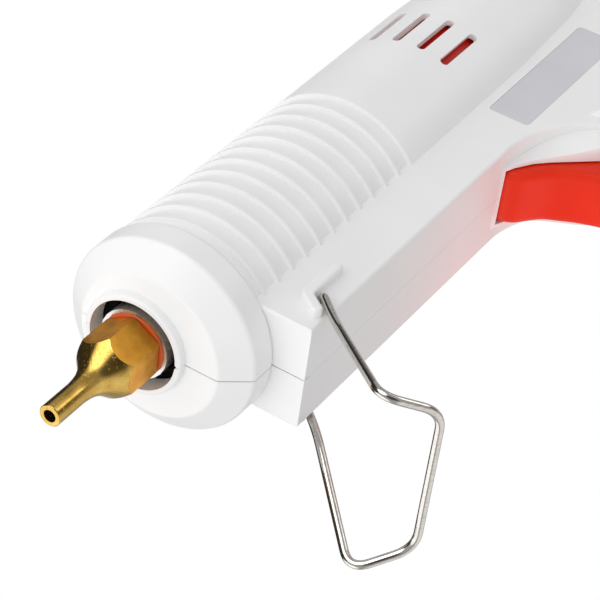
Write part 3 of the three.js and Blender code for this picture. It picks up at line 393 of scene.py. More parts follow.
def plate(name, outline, low, high, rim=0, rim_steps=RIM_STEPS):
    """A plate cut to an outline of the side view, with rounded rims."""
    piece = extruded(name, [(x, low, z) for x, z in outline], (0, high - low, 0))
    if rim:
        bpy.ops.object.mode_set(mode="EDIT")
        bpy.ops.mesh.select_mode(type="EDGE")
        bpy.ops.mesh.select_all(action="DESELECT")
        bpy.ops.object.mode_set(mode="OBJECT")
        for edge in piece.data.edges:
            ends = [piece.data.vertices[i].co.y / MM for i in edge.vertices]
            edge.select = any(all(abs(y - side) < WELD / MM for y in ends) for side in (low, high))
        bpy.ops.object.mode_set(mode="EDIT")
        bpy.ops.mesh.bevel(offset=rim * MM, segments=rim_steps, affect="EDGES", clamp_overlap=False)
        bpy.ops.mesh.select_mode(type="VERT")
        close_mesh()
    return piece


def rod_y(name, radius, low, high, place, sides=SMALL_SIDES):
    return plate(name, arc(place, radius, 0, 2 * math.pi, sides)[:-1], low, high)


def box(name, low, high):
    outline = [(low[0], low[2]), (high[0], low[2]), (high[0], high[2]), (low[0], high[2])]
    return plate(name, outline, low[1], high[1])


def join_or_cut(piece, tool, how):
    modifier = piece.modifiers.new("shape", "BOOLEAN")
    modifier.solver = "MANIFOLD"
    modifier.operation = how
    modifier.object = tool
    select_only(piece)
    bpy.ops.object.modifier_apply(modifier=modifier.name)
    bpy.data.objects.remove(tool)


def join(piece, tool):
    join_or_cut(piece, tool, "UNION")


def cut(piece, tool):
    join_or_cut(piece, tool, "DIFFERENCE")


def common(piece, tool):
    join_or_cut(piece, tool, "INTERSECT")


def smooth(piece, angle=SMOOTH_ANGLE):
    """Shades the round faces smoothly and keeps large flat faces flat up to their rims."""
    select_only(piece)
    bpy.ops.object.shade_smooth_by_angle(angle=math.radians(angle))
    modifier = piece.modifiers.new("weighted", "WEIGHTED_NORMAL")
    modifier.keep_sharp = True
    bpy.ops.object.modifier_apply(modifier=modifier.name)


def mount(piece, body, material, *nodes):
    """Tips a finished piece onto the stand, gives it its finish and ties it to its body."""
    settle(piece, GUN)
    piece.data.materials.clear()
    for one in material if isinstance(material, list) else [material]:
        piece.data.materials.append(one)
    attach(piece, body)
    if nodes:
        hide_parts(*nodes)


# Finishes
def linear(hex_colour):
    """An sRGB colour such as F2F0EE as the linear one that a shader needs."""
    values = [int(hex_colour[i:i + 2], 16) / 255 for i in (0, 2, 4)]
    return [v / 12.92 if v <= 0.04045 else ((v + 0.055) / 1.055) ** 2.4 for v in values] + [1]


def add(tree, kind, settings=None, links=None):
    """Adds a node, sets its properties and sockets, and links other nodes' outputs into it."""
    node = tree.nodes.new(kind)
    for key, value in (settings or {}).items():
        if isinstance(key, int) or key in node.inputs:
            node.inputs[key].default_value = value
        else:
            setattr(node, key, value)
    for key, output in (links or {}).items():
        tree.links.new(output, node.inputs[key])
    return node


def blended(tree, value, *stops):
    """A colour ramp over a pattern, from (position, hex colour) stops."""
    node = add(tree, "ShaderNodeValToRGB", links={"Fac": value})
    elements = node.color_ramp.elements
    while len(elements) < len(stops):
        elements.new(0.5)
    for element, (position, colour) in zip(elements, stops):
        element.position = position
        element.color = linear(colour)
    return node.outputs["Color"]


def new_material(name):
    material = bpy.data.materials.new(name)
    material.use_nodes = True
    material.node_tree.nodes.clear()
    return material, material.node_tree


def surface(tree, settings, links):
    shader = add(tree, "ShaderNodeBsdfPrincipled", settings, links)
    add(tree, "ShaderNodeOutputMaterial", links={"Surface": shader.outputs["BSDF"]})


def grain(tree, size, detail=3, stretch=(1, 1, 1)):
    """Noise whose grains are about the given size in millimetres."""
    place = add(tree, "ShaderNodeTexCoord").outputs["Object"]
    scaled = add(tree, "ShaderNodeMapping", {"Scale": stretch}, {"Vector": place})
    noise = add(tree, "ShaderNodeTexNoise", {"Scale": 1 / (size * MM), "Detail": detail},
                {"Vector": scaled.outputs["Vector"]})
    return noise.outputs["Fac"]


def bumped(tree, height, depth):
    """A normal bent by a pattern whose full depth is given in millimetres."""
    bump = add(tree, "ShaderNodeBump", {"Distance": depth * MM, "Strength": 1.0}, {"Height": height})
    return bump.outputs["Normal"]


def ranged(tree, value, low, high):
    return add(tree, "ShaderNodeMapRange", {"To Min": low, "To Max": high},
               {"Value": value}).outputs["Result"]


def moulded(name, dark, light, roughness, grain_size=0.5, depth=0.004, ior=1.5):
    """Injection-moulded plastic: a faint spark-eroded grain, slow cloudiness and a satin sheen."""
    material, tree = new_material(name)
    cloud = grain(tree, 22, 2)
    fine = grain(tree, grain_size)
    surface(tree, {"IOR": ior},
            {"Base Color": blended(tree, cloud, (0.3, dark), (0.7, light)),
             "Roughness": ranged(tree, cloud, roughness - 0.04, roughness + 0.04),
             "Normal": bumped(tree, fine, depth)})
    return material


def drawn_metal(name, dark, light, roughness, streak=(1, 1, 1)):
    """Bright metal with fine lines along the way it was drawn or turned."""
    material, tree = new_material(name)
    fine = grain(tree, 0.4, 4, streak)
    surface(tree, {"Metallic": 1.0},
            {"Base Color": blended(tree, fine, (0.3, dark), (0.7, light)),
             "Roughness": ranged(tree, fine, roughness * 0.75, roughness * 1.3),
             "Normal": bumped(tree, fine, 0.003)})
    return material


def turned_brass():
    """Brass turned on a lathe: fine rings round the axis, a few cast pits, and a glossy skin."""
    material, tree = new_material("turned_brass")
    along = (1, 0.06, 0.06)
    rings = grain(tree, 0.3, 2, along)
    cloud = grain(tree, 5, 4)
    pits = grain(tree, 0.7, 1)
    pit_edge = ranged(tree, pits, 0, 1)
    sunk = blended(tree, pit_edge, (0.33, "000000"), (0.37, "FFFFFF"))
    hollow = bumped(tree, sunk, 0.03)
    ringed = add(tree, "ShaderNodeBump", {"Distance": 0.006 * MM}, {"Height": rings, "Normal": hollow})
    surface(tree, {"Metallic": 1.0},
            {"Base Color": blended(tree, cloud, (0.3, "B08A42"), (0.55, "C6A252"), (0.8, "D8B96C")),
             "Roughness": ranged(tree, cloud, 0.16, 0.3),
             "Normal": ringed.outputs["Normal"]})
    return material


def milled_brass():
    """The hexagon's flats: milled brass, left matt and heat-tinted to a deeper gold."""
    material, tree = new_material("milled_brass")
    cloud = grain(tree, 3, 5)
    fine = grain(tree, 0.25, 3, (0.2, 1, 1))
    surface(tree, {"Metallic": 1.0},
            {"Base Color": blended(tree, cloud, (0.3, "D0923A"), (0.6, "E6A83E"), (0.8, "EEB85C")),
             "Roughness": ranged(tree, cloud, 0.42, 0.55),
             "Normal": bumped(tree, fine, 0.008)})
    return material


def floor_paint():
    """Pale matt floor, seen from above and open from below, where the camera looks up at the gun."""
    material, tree = new_material("floor_paint")
    cloud = grain(tree, 300, 2)
    colour = blended(tree, cloud, (0.3, "EFEFEE"), (0.7, "F2F2F1"))
    matt = add(tree, "ShaderNodeBsdfDiffuse", links={"Color": colour})
    clear = add(tree, "ShaderNodeBsdfTransparent")
    side = add(tree, "ShaderNodeNewGeometry").outputs["Backfacing"]
    both = add(tree, "ShaderNodeMixShader", links={0: side, 1: matt.outputs[0], 2: clear.outputs[0]})
    add(tree, "ShaderNodeOutputMaterial", links={"Surface": both.outputs[0]})
    return material


WHITE_SHELL = moulded("white_nylon", "EFEFEF", "F3F3F3", 0.4)
RED_PLASTIC = moulded("orange_red_nylon", "DC2400", "E62C02", 0.33, ior=1.35)
DARK_RED = moulded("red_nylon", "C8160A", "D8200E", 0.4)
# Near-black resin that reflects almost nothing (IOR 1.1): painted shade, standing in for the dark gap
# between the chamber's rim and the mouth.
SHADE_BLACK_RESIN = moulded("painted_shade_black", "0E0D0E", "171617", 0.5, 0.4, 0.01, 1.1)
GREY_FILM = moulded("grey_film", "CFCFD4", "D5D5DA", 0.42, 0.3, 0.002)
SILICONE = moulded("orange_silicone", "C04A14", "D86024", 0.5, 0.4, 0.006)
BLACK_RUBBER = moulded("black_rubber", "141414", "1E1E1E", 0.6, 0.4, 0.01)
CERAMIC = moulded("steatite_ceramic", "DDD9D0", "E4E0D8", 0.6, 0.3, 0.006)
GREY_NYLON = moulded("grey_nylon", "3A3A3C", "444446", 0.45)
LEAD_SILICONE = moulded("pale_silicone", "CFCAC0", "D8D3CA", 0.5)
TURNED_BRASS = turned_brass()
MILLED_BRASS = milled_brass()
BRIGHT_WIRE = drawn_metal("nickel_plated_wire", "B9B4AD", "D6D2CC", 0.13, (0.1, 1, 1))
ALUMINIUM = drawn_metal("cast_aluminium", "BDBBB9", "DAD8D6", 0.35)
ZINC_STEEL = drawn_metal("zinc_plated_steel", "A9A8A6", "C4C3C0", 0.3)


# Shells
def body_outline(inset):
    """Side view of the rail, arch, handle, web and tail, seen from the left."""
    front = crossing(grip_front(inset), DOWN_HANDLE, ground_point(inset), ALONG_GROUND)
    back = crossing(grip_back(inset), DOWN_HANDLE, ground_point(inset), ALONG_GROUND)
    web = crossing(grip_back(-WEB_RADIUS), DOWN_HANDLE, Vector((0, -TAIL_UNDERSIDE - WEB_RADIUS)), LEVEL)
    tail_x = GUN_REAR - 2 * SHELL_WALL
    nose = [(CAP_LENGTH + inset, -BARREL_DROP), (CAP_LENGTH + inset, -RAIL_DEPTH + inset)]
    arch = arc(ARCH_CENTRE, ARCH_RADIUS + inset, math.pi / 2, HANDLE_LEAN, ARCH_STEPS)
    curve = arc(web, WEB_RADIUS + inset, math.pi + HANDLE_LEAN, math.pi / 2, ARCH_STEPS)
    tail = [(tail_x, -TAIL_RISE + inset), (tail_x, -BARREL_DROP)]
    return nose + arch + [tuple(front), tuple(back)] + curve + tail


def grip_outline(inset, ground_inset):
    ground = ground_point(ground_inset)
    top = Vector((0, -GRIP_TOP - inset))
    corners = [crossing(grip_front(inset), DOWN_HANDLE, top, LEVEL),
               crossing(grip_front(inset), DOWN_HANDLE, ground, ALONG_GROUND),
               crossing(grip_back(inset), DOWN_HANDLE, ground, ALONG_GROUND),
               crossing(grip_back(inset), DOWN_HANDLE, top, LEVEL)]
    return [tuple(corner) for corner in corners]


def cap_solid():
    """The nose cap with its chamfer and the lip round its mouth."""
    face = [(0, 0, 0), (0, CAP_FACE_RADIUS, CAP_EASE), (CAP_CHAMFER, CAP_RADIUS, CAP_EASE),
            (CAP_LENGTH, CAP_RADIUS, CAP_REAR_EASE), (CAP_LENGTH, GROOVE_FLOOR, 0),
            (CAP_LENGTH + OVERRUN, 0, 0)]
    lip = [(-LIP_PROUD, 0, 0), (-LIP_PROUD, LIP_RADIUS, LIP_EASE), (CAP_WALL, LIP_RADIUS, 0),
           (CAP_WALL, 0, 0)]
    cap = turned("cap", eased(face), -CAP_DROP)
    join(cap, turned("lip", eased(lip)))
    return cap


def rib_profile():
    """Outline of the barrel: ribs, then the smooth part that narrows to the rear."""
    corners = [(CAP_LENGTH - OVERRUN, 0, 0), (CAP_LENGTH - OVERRUN, GROOVE_FLOOR, 0)]
    half = RIB_CREST / 2
    for i in range(RIB_COUNT):
        centre = FIRST_RIB + i * RIB_PITCH
        corners.append((centre - half - RIB_FLANK, GROOVE_FLOOR, RIB_EASE / 2))
        corners.append((centre - half, BARREL_RADIUS, RIB_EASE))
        if i < RIB_COUNT - 1:
            corners.append((centre + half, BARREL_RADIUS, RIB_EASE))
            corners.append((centre + half + RIB_FLANK, GROOVE_FLOOR, RIB_EASE / 2))
    for along, radius in TAIL_SHARES:
        corners.append((SMOOTH_START + along * SMOOTH_LENGTH, radius * BARREL_RADIUS, TAIL_EASE))
    corners[-1] = corners[-1][:2] + (TAIL_END_EASE,)
    corners.append((GUN_REAR, 0, 0))
    return eased(corners, steps=FINE_CORNER_STEPS)


def cavity_solid():
    """The hollow inside both half shells."""
    cap_inner = CAP_RADIUS - CAP_WALL
    cap = [(CAP_WALL, 0), (CAP_WALL, CAP_FACE_RADIUS - CAP_WALL / 2),
           (CAP_CHAMFER + CAP_WALL / 2, cap_inner), (CAP_LENGTH + OVERRUN, cap_inner),
           (CAP_LENGTH + OVERRUN, 0)]
    inner_radius = GROOVE_FLOOR - BARREL_WALL
    bore = [(CAP_LENGTH, 0), (CAP_LENGTH, inner_radius)]
    for along, radius in TAIL_SHARES:
        x = min(SMOOTH_START + along * SMOOTH_LENGTH, GUN_REAR - SHELL_WALL)
        bore.append((x, min(radius * BARREL_RADIUS - SHELL_WALL, inner_radius)))
    bore.append((GUN_REAR - SHELL_WALL, 0))
    cavity = turned("cavity", cap, -CAP_DROP, SMALL_SIDES)
    cut(cavity, round_bar("lip_root", 0, CAP_WALL, LIP_RADIUS, 0, SMALL_SIDES))
    join(cavity, turned("bore", bore, -BARREL_DROP, SMALL_SIDES))
    join(cavity, round_bar("vent_relief", WING_START - RELIEF_LEAD, WING_START + WING_LENGTH + OVERRUN,
                           RELIEF_RADIUS, -BARREL_DROP))
    rail_half = RAIL_HALF - SHELL_WALL
    grip_half = GRIP_HALF - SHELL_WALL
    join(cavity, plate("rail_inside", body_outline(SHELL_WALL), -rail_half, rail_half))
    join(cavity, plate("grip_inside", grip_outline(SHELL_WALL, SHELL_WALL), -grip_half, grip_half,
                       GRIP_EASE - SHELL_WALL))
    return cavity


def grip_place(along_share, setback_share):
    top = grip_front(0)
    bottom = crossing(top, DOWN_HANDLE, ground_point(0), ALONG_GROUND)
    return top.lerp(bottom, along_share) + ACROSS_HANDLE * setback_share * GRIP_DEPTH


def screw_places():
    in_grip = [grip_place(share, GRIP_SCREW_SETBACK) for share in GRIP_SCREW_SHARES]
    return [Vector(p) for p in RAIL_SCREWS] + in_grip


def bent_bar(start, corner, end, half, end_ease, outer_ease, inner_ease):
    """Outline of a bar of one width, bent once, with rounded ends and corner."""
    first = (corner - start).normalized()
    last = (end - corner).normalized()
    side, far_side = Vector((-first.y, first.x)), Vector((-last.y, last.x))
    miter = (side + far_side).normalized() * half / math.cos(side.angle(far_side) / 2)
    ease = (outer_ease, inner_ease) if first.cross(last) < 0 else (inner_ease, outer_ease)
    corners = [(start - side * half, end_ease), (corner - miter, ease[1]),
               (end - far_side * half, end_ease), (end + far_side * half, end_ease),
               (corner + miter, ease[0]), (start + side * half, end_ease)]
    return eased([(p.x, p.y, r) for p, r in corners], closed=True)


def clip_places():
    """The L-shaped clip: an arm over the wire's ear and a stop ahead of its leg, as one bent bar."""
    pivot = Vector((STAND_PIVOT.x, STAND_PIVOT.z))
    kink = Vector((STAND_POINTS[0][0], STAND_POINTS[0][2]))
    leg = (kink - pivot).normalized()
    ahead = Vector((leg.y, -leg.x))
    spacing = WIRE_RADIUS + FIT + CLIP_THICKNESS / 2
    corner = pivot + ahead * spacing + Vector((0, spacing / 2))
    corner.y = pivot.y + spacing
    stop_end = pivot + ahead * spacing + leg * CLIP_STOP
    return corner, stop_end, Vector((corner.x + CLIP_ARM, corner.y))


def on_trigger(shares):
    """Places in the side view, as shares of the trigger's reach from its pivot."""
    return [tuple(TRIGGER_PIVOT + Vector(share) * TRIGGER_REACH) for share in shares]


def prow_solid():
    """The swelling of the handle beside the trigger: a side outline cut to its shape seen from above."""
    prow = plate("prow", on_trigger(PROW_SHARES), -RAIL_HALF, RAIL_HALF, PROW_EASE, FINE_RIM_STEPS)
    right = [(TRIGGER_PIVOT.x + along * TRIGGER_REACH, out * RAIL_HALF) for along, out in PROW_PLAN_SHARES]
    right = curved(right, PROW_PLAN_STEPS)
    plan = right + [(x, -y) for x, y in reversed(right)]
    high = TRIGGER_PIVOT.y + TRIGGER_REACH
    low = TRIGGER_PIVOT.y - TRIGGER_REACH
    common(prow, extruded("prow_plan", [(x, y, low) for x, y in plan], (0, 0, high - low)))
    return prow


def stadium(start, end, half):
    angle = math.atan2(end.y - start.y, end.x - start.x)
    quarter = math.pi / 2
    return (arc(end, half, angle - quarter, angle + quarter, END_STEPS)
            + arc(start, half, angle + quarter, angle + 3 * quarter, END_STEPS))


def clip_solid(side):
    corner, stop_end, arm_end = clip_places()
    low, high = sorted((side * (RAIL_HALF - SHELL_WALL / 2), side * (RAIL_HALF + CLIP_PROUD)))
    half = CLIP_THICKNESS / 2
    end_reach = (arm_end - corner).normalized() * half, (stop_end - corner).normalized() * half
    outline = bent_bar(stop_end + end_reach[1], corner, arm_end + end_reach[0], half, CLIP_END_EASE,
                       CLIP_CORNER_EASE, CLIP_END_EASE)
    return plate("clip", outline, low, high, CLIP_EASE)


def vent_cutter(side, index):
    half = VENT_WIDTH / 2
    front = Vector((VENT_START + half, 0))
    rear = Vector((VENT_START + VENT_LENGTH - half, 0))
    cutter = plate("vent", stadium(front, rear, half), side * BARREL_RADIUS / 2,
                   side * (BARREL_RADIUS + OVERRUN))
    angle = math.radians(VENT_LOWEST + index * VENT_PITCH)
    settle(cutter, Matrix.Translation((0, 0, -BARREL_DROP * MM)) @ Matrix.Rotation(side * angle, 4, "X"))
    return cutter


def rod_at_inlet(name, radius, start, end):
    """A round bar along the cord inlet's axis, which lies level when the gun stands."""
    centre = crossing(grip_back(0), DOWN_HANDLE, ground_point(INLET_HEIGHT), ALONG_GROUND)
    rod = round_bar(name, start, end, radius, 0, SMALL_SIDES)
    settle(rod, Matrix.Translation((centre.x * MM, 0, centre.y * MM)) @ Matrix.Rotation(TILT, 4, "Y"))
    return rod


def label_outline(gap):
    left, right = LABEL_START + gap, LABEL_START + LABEL_LENGTH - gap
    low, high = -LABEL_TOP - LABEL_HEIGHT + gap, -LABEL_TOP - gap
    corners = [(left, low), (right, low), (right, high), (left, high)]
    return eased([(x, z, LABEL_CORNER) for x, z in corners], closed=True)


def shell_solid():
    """Both half shells as one hollow body."""
    shell = cap_solid()
    join(shell, turned("barrel", rib_profile(), -BARREL_DROP))
    join(shell, plate("rail", body_outline(0), -RAIL_HALF, RAIL_HALF, RAIL_EASE))
    join(shell, plate("grip", grip_outline(0, -GRIP_EASE), -GRIP_HALF, GRIP_HALF, GRIP_EASE,
                      GRIP_RIM_STEPS))
    join(shell, prow_solid())
    ground = ground_point(0)
    below = [ground - ALONG_GROUND * GUN_REAR, ground + ALONG_GROUND * 2 * GUN_REAR]
    below += [p - OFF_GROUND * GUN_REAR for p in reversed(below)]
    cut(shell, plate("ground", [tuple(p) for p in below], -GUN_REAR, GUN_REAR))
    cut(shell, cavity_solid())
    slot_half = TRIGGER_HALF + SLOT_PLAY
    roof = -RAIL_DEPTH + SHELL_WALL + OVERRUN / 2
    slot = [(TRIGGER_PIVOT.x - SLOT_FRONT, TRIGGER_PIVOT.y - TRIGGER_REACH - 2 * OVERRUN),
            (TRIGGER_PIVOT.x - SLOT_FRONT, roof), (TRIGGER_PIVOT.x + HUB_RADIUS + FIT, roof)]
    slot += on_trigger(SLOT_SHARES)
    cut(shell, plate("slot", slot, -slot_half, slot_half))
    for side in (-1, 1):
        join(shell, clip_solid(side))
    join(shell, rod_at_inlet("spigot", SPIGOT_RADIUS, -SPIGOT_REACH, SPIGOT_REACH))
    ahead = -LIP_PROUD - OVERRUN
    behind = CAP_WALL + OVERRUN
    cut(shell, round_bar("mouth", ahead, behind, MOUTH_RADIUS))
    cut(shell, round_bar("collar_seat", GUN_REAR - 2 * SHELL_WALL, GUN_REAR + OVERRUN, COLLAR_RADIUS + FIT,
                         0, SMALL_SIDES))
    cut(shell, rod_at_inlet("inlet_bore", INLET_BORE + FIT, -2 * SPIGOT_REACH, SPIGOT_REACH + OVERRUN))
    for side in (-1, 1):
        for index in range(VENT_COUNT):
            cut(shell, vent_cutter(side, index))
    pivot = (STAND_PIVOT.x, STAND_PIVOT.z)
    cut(shell, rod_y("ear_hole", WIRE_RADIUS + FIT / 2, -GUN_REAR, GUN_REAR, pivot))
    for place in screw_places():
        cut(shell, rod_y("screw_hole", SCREW_HEAD_RADIUS + FIT, SCREW_HEAD_Y, 2 * GRIP_HALF, place))
    cut(shell, plate("label_recess", label_outline(0), -RAIL_HALF - OVERRUN,
                     -RAIL_HALF + LABEL_THICKNESS + FIT))
    seam_half = NOSE_SEAM / 2
    cut(shell, box("nose_seam", (-OVERRUN, -seam_half, -2 * CAP_RADIUS),
                   (CAP_LENGTH + OVERRUN, seam_half, -LIP_RADIUS)))
    cut(shell, round_bar("mouth_notch", ahead, behind, MOUTH_NOTCH, -MOUTH_RADIUS, SMALL_SIDES))
    return shell


def shell_half(shell, side, name):
    select_only(shell)
    bpy.ops.object.duplicate()
    half = bpy.context.object
    half.name = name
    far = 2 * GUN_REAR
    low, high = sorted((side * SEAM / 2, side * CAP_RADIUS * 2))
    common(half, box("side", (-far, low, -far), (far, high, far)))
    smooth(half)
    return half


whole_shell = shell_solid()
mount(shell_half(whole_shell, -1, "shell_left"), "housing", WHITE_SHELL, "housing_left")
mount(shell_half(whole_shell, 1, "shell_right"), "housing", WHITE_SHELL, "housing_right")
bpy.data.objects.remove(whole_shell)


# Nose
def nozzle_piece():
    neck_end = -NOZZLE_REACH + NOZZLE_TIP_LENGTH
    bell_length = -HEX_FRONT - neck_end
    bell = [(neck_end + a * bell_length, NOZZLE_TIP_RADIUS + g * (HEX_CORNER - NOZZLE_TIP_RADIUS))
            for a, g in BELL_SHARES]
    profile = eased([(-NOZZLE_REACH, NOZZLE_BORE, 0), (-NOZZLE_REACH, NOZZLE_TIP_RADIUS, NOZZLE_TIP_EASE),
                     (neck_end, NOZZLE_TIP_RADIUS, 0)])[:-1]
    profile += curved(bell, BELL_STEPS)
    profile += [(-HEX_REAR - NOZZLE_RIM_EASE, NOZZLE_RIM_RADIUS),
                (-HEX_REAR, NOZZLE_RIM_RADIUS - NOZZLE_RIM_EASE), (-HEX_REAR, SHANK_RADIUS),
                (-HEX_REAR + SHANK_LENGTH, SHANK_RADIUS), (-HEX_REAR + SHANK_LENGTH, NOZZLE_BORE)]
    nozzle = turned("brass_nozzle", profile + profile[:1])
    prism = round_bar("hexagon", -NOZZLE_REACH - OVERRUN, SHANK_LENGTH, HEX_CORNER, 0, 6)
    settle(prism, Matrix.Rotation(HEX_TURN, 4, "X"))
    common(nozzle, prism)
    smooth(nozzle, NOZZLE_SMOOTH_ANGLE)
    return nozzle


def on_hexagon_flat(face):
    """Whether a face of the finished nozzle is one of the hexagon's flats."""
    middle = GUN.inverted() @ face.center / MM
    outward = TURN.inverted() @ face.normal
    across = abs(math.hypot(outward.y, outward.z) - 1) < NORMAL_TOLERANCE
    upright = abs(outward.x) < LEVEL_TOLERANCE and across
    in_reach = -HEX_FRONT - HEX_MARGIN < middle.x < -HEX_REAR
    off_flat = abs(middle.yz.dot(outward.yz) - HEX_CORNER * math.cos(HEX_TURN))
    return upright and in_reach and off_flat < FLAT_TOLERANCE


nozzle = nozzle_piece()
mount(nozzle, "housing", [TURNED_BRASS, MILLED_BRASS], "nozzle")
for face in nozzle.data.polygons:
    face.material_index = int(on_hexagon_flat(face))


def ring(name, inner, outer, start, end, ease):
    corners = [(start, inner, ease), (start, outer, ease), (end, outer, 0), (end, inner, 0)]
    profile = eased(corners, closed=True, steps=FINE_CORNER_STEPS)
    return turned(name, profile + profile[:1])


washer = ring("silicone_washer", SHANK_RADIUS + FIT, RIM_RADIUS - RIM_WALL - FIT / 3, -HEX_REAR + FIT,
              -CHAMBER_FRONT + RIM_DEPTH - FIT, WASHER_EASE)
smooth(washer)
mount(washer, "housing", SILICONE, "nozzle_washer")

# The front insulator ring takes the near-black resin that barely reflects: painted shade for the gap
# between the chamber's rim and the mouth.
insulator = ring("insulator_ring", RIM_RADIUS + FIT, INSULATOR_RADIUS, CAP_WALL + FIT,
                 CAP_WALL + FIT + INSULATOR_LENGTH, INSULATOR_EASE)
smooth(insulator)
mount(insulator, "housing", SHADE_BLACK_RESIN, "front_insulator")


# Wire stand
def wire_route():
    """The bail's centre line, from one end inside its clip to the other."""
    half = [(STAND_PIVOT.x, STAND_END_Y, STAND_PIVOT.z), (STAND_PIVOT.x, STAND_EAR_Y, STAND_PIVOT.z)]
    half += STAND_POINTS
    corners = [Vector(p) for p in half] + [Vector((p[0], -p[1], p[2])) for p in reversed(half)]
    route = [corners[0]]
    for before, corner, after in zip(corners, corners[1:], corners[2:]):
        spans = [(end - corner).length / WIRE_BEND_LIMIT for end in (before, after)]
        reach = min(WIRE_BEND, *spans)
        start = corner + (before - corner).normalized() * reach
        end = corner + (after - corner).normalized() * reach
        for k in range(WIRE_BEND_STEPS + 1):
            t = k / WIRE_BEND_STEPS
            route.append(start * (1 - t) ** 2 + corner * 2 * t * (1 - t) + end * t ** 2)
    return route + [corners[-1]]


stand = draw_line("wire_bail", wire_route())
bpy.ops.object.mode_set(mode="OBJECT")
select_only(stand)
bpy.ops.object.convert(target="CURVE")
stand.data.dimensions = "3D"
stand.data.bevel_depth = WIRE_RADIUS * MM
stand.data.bevel_resolution = WIRE_ROUNDNESS
stand.data.use_fill_caps = True
bpy.ops.object.convert(target="MESH")
stand = bpy.context.object
smooth(stand, WIRE_SMOOTH_ANGLE)
mount(stand, "stand", BRIGHT_WIRE, "wire_stand")


# Trigger
def trigger_piece():
    """The trigger with its soft rims, its hub and the two arms that reach up to the links."""
    face = curved(on_trigger(TRIGGER_FACE_SHARES), TRIGGER_FACE_STEPS)
    outline = face + on_trigger(TRIGGER_BACK_SHARES)
    trigger = plate("finger_trigger", outline, -TRIGGER_HALF, TRIGGER_HALF, TRIGGER_EASE, FINE_RIM_STEPS)
    join(trigger, rod_y("hub", HUB_RADIUS, -TRIGGER_HALF, TRIGGER_HALF, TRIGGER_PIVOT))
    for side in (-1, 1):
        low, high = sorted((side * ARM_LOW, side * ARM_HIGH))
        join(trigger, plate("arm", stadium(TRIGGER_PIVOT, ARM_PIN, ARM_HALF), low, high))
    cut(trigger, rod_y("pin_hole", PIN_HOLE, -RAIL_HALF, RAIL_HALF, TRIGGER_PIVOT))
    cut(trigger, rod_y("arm_hole", ARM_HOLE, -RAIL_HALF, RAIL_HALF, ARM_PIN))
    smooth(trigger)
    return trigger


mount(trigger_piece(), "lever", RED_PLASTIC, "trigger")


# Label
film = plate("label_film", label_outline(LABEL_GAP), -RAIL_HALF, -RAIL_HALF + LABEL_THICKNESS, LABEL_EASE,
             LABEL_RIM_STEPS)
smooth(film)
mount(film, "housing", GREY_FILM, "label_plate")


# Carriage's wings
def carriage_wings():
    """Curved red walls on webs at the carriage's sides, which fill the view through the vents."""
    end = WING_START + WING_LENGTH
    inner = WING_RADIUS - WING_WALL
    wall = [(WING_START, inner), (WING_START, WING_RADIUS), (end, WING_RADIUS), (end, inner)]
    wings = turned("carriage_wings", wall + wall[:1], -BARREL_DROP)
    common(wings, box("reach", (WING_START - OVERRUN, -CAP_RADIUS, WING_BOTTOM),
                      (end + OVERRUN, CAP_RADIUS, WING_TOP)))
    for side in (-1, 1):
        low, high = sorted((side * (CARRIAGE_HALF - WING_WALL), side * (WING_RADIUS - WING_WALL / 2)))
        join(wings, box("web", (WING_START, low, -WING_WEB / 2), (end, high, WING_WEB / 2)))
    smooth(wings)
    return wings


mount(carriage_wings(), "carriage", DARK_RED)


# Finishes of the frame's own pieces
NODE_FINISHES = {
    "heater_chamber": ALUMINIUM, "rear_insulator": SHADE_BLACK_RESIN, "heater_element": CERAMIC,
    "stick_sleeve": SILICONE, "guide_tube": GREY_NYLON, "inlet_collar": GREY_NYLON, "carriage": DARK_RED,
    "terminal_block": CERAMIC, "heater_lead_left": LEAD_SILICONE, "heater_lead_right": LEAD_SILICONE,
    "cord_gland": BLACK_RUBBER,
}
STEEL_NODES = ["heater_clip", "sleeve_clip", "gripper_jaw", "jaw_pin", "jaw_link_pin", "trigger_pin",
               "link_left", "link_right", "link_pin_left", "link_pin_right", "return_spring"]
STEEL_NODES += [f"housing_screw_{i + 1}" for i in range(len(screw_places()))]
for name in STEEL_NODES:
    NODE_FINISHES[name] = ZINC_STEEL
for name, finish in NODE_FINISHES.items():
    slots = frame["nodes"][name].data.materials
    slots.clear()
    slots.append(finish)

# Floor
FLOOR_SIZE = 6.0
FLOOR_CELLS = 4
bpy.ops.object.select_all(action="DESELECT")
bpy.ops.mesh.primitive_grid_add(x_subdivisions=FLOOR_CELLS, y_subdivisions=FLOOR_CELLS, size=FLOOR_SIZE)
floor = bpy.context.object
floor.name = "floor"
floor.data.materials.append(floor_paint())
for sense in ("visible_shadow", "visible_diffuse", "visible_glossy"):
    setattr(floor, sense, False)

# Camera, looking up at the nose from the left, as far as it was from the gun in the photograph
CAMERA_PLACE = Vector((-385.3, -376.4, -234.0))
CAMERA_FORWARD = Vector((0.698, 0.6228, 0.3535))
CAMERA_RIGHT = Vector((0.5306, -0.1182, -0.8394))
CAMERA_LENS = 156.7
SENSOR = 36

forward = (TURN @ CAMERA_FORWARD).normalized()
right = (TURN @ CAMERA_RIGHT).normalized()
above = right.cross(forward)
camera_data = bpy.data.cameras.new("camera")
camera_data.lens = CAMERA_LENS
camera_data.sensor_width = SENSOR
camera = bpy.data.objects.new("camera", camera_data)
bpy.context.collection.objects.link(camera)
camera.matrix_world = (Matrix.Translation(GUN @ (CAMERA_PLACE * MM))
                       @ Matrix((right, above, -forward)).transposed().to_4x4())
bpy.context.scene.camera = camera


# Light
def soft_box(name, place, aim, size, power, colour):
    """A square studio light, placed and aimed in the gun's frame."""
    data = bpy.data.lights.new(name, "AREA")
    data.shape = "SQUARE"
    data.size = size * MM
    data.energy = power
    data.color = linear(colour)[:3]
    lamp = bpy.data.objects.new(name, data)
    bpy.context.collection.objects.link(lamp)
    start, end = GUN @ (Vector(place) * MM), GUN @ (Vector(aim) * MM)
    lamp.location = start
    lamp.rotation_euler = (end - start).to_track_quat("-Z", "Y").to_euler()
    lamp.visible_camera = False
    lamp.visible_glossy = False


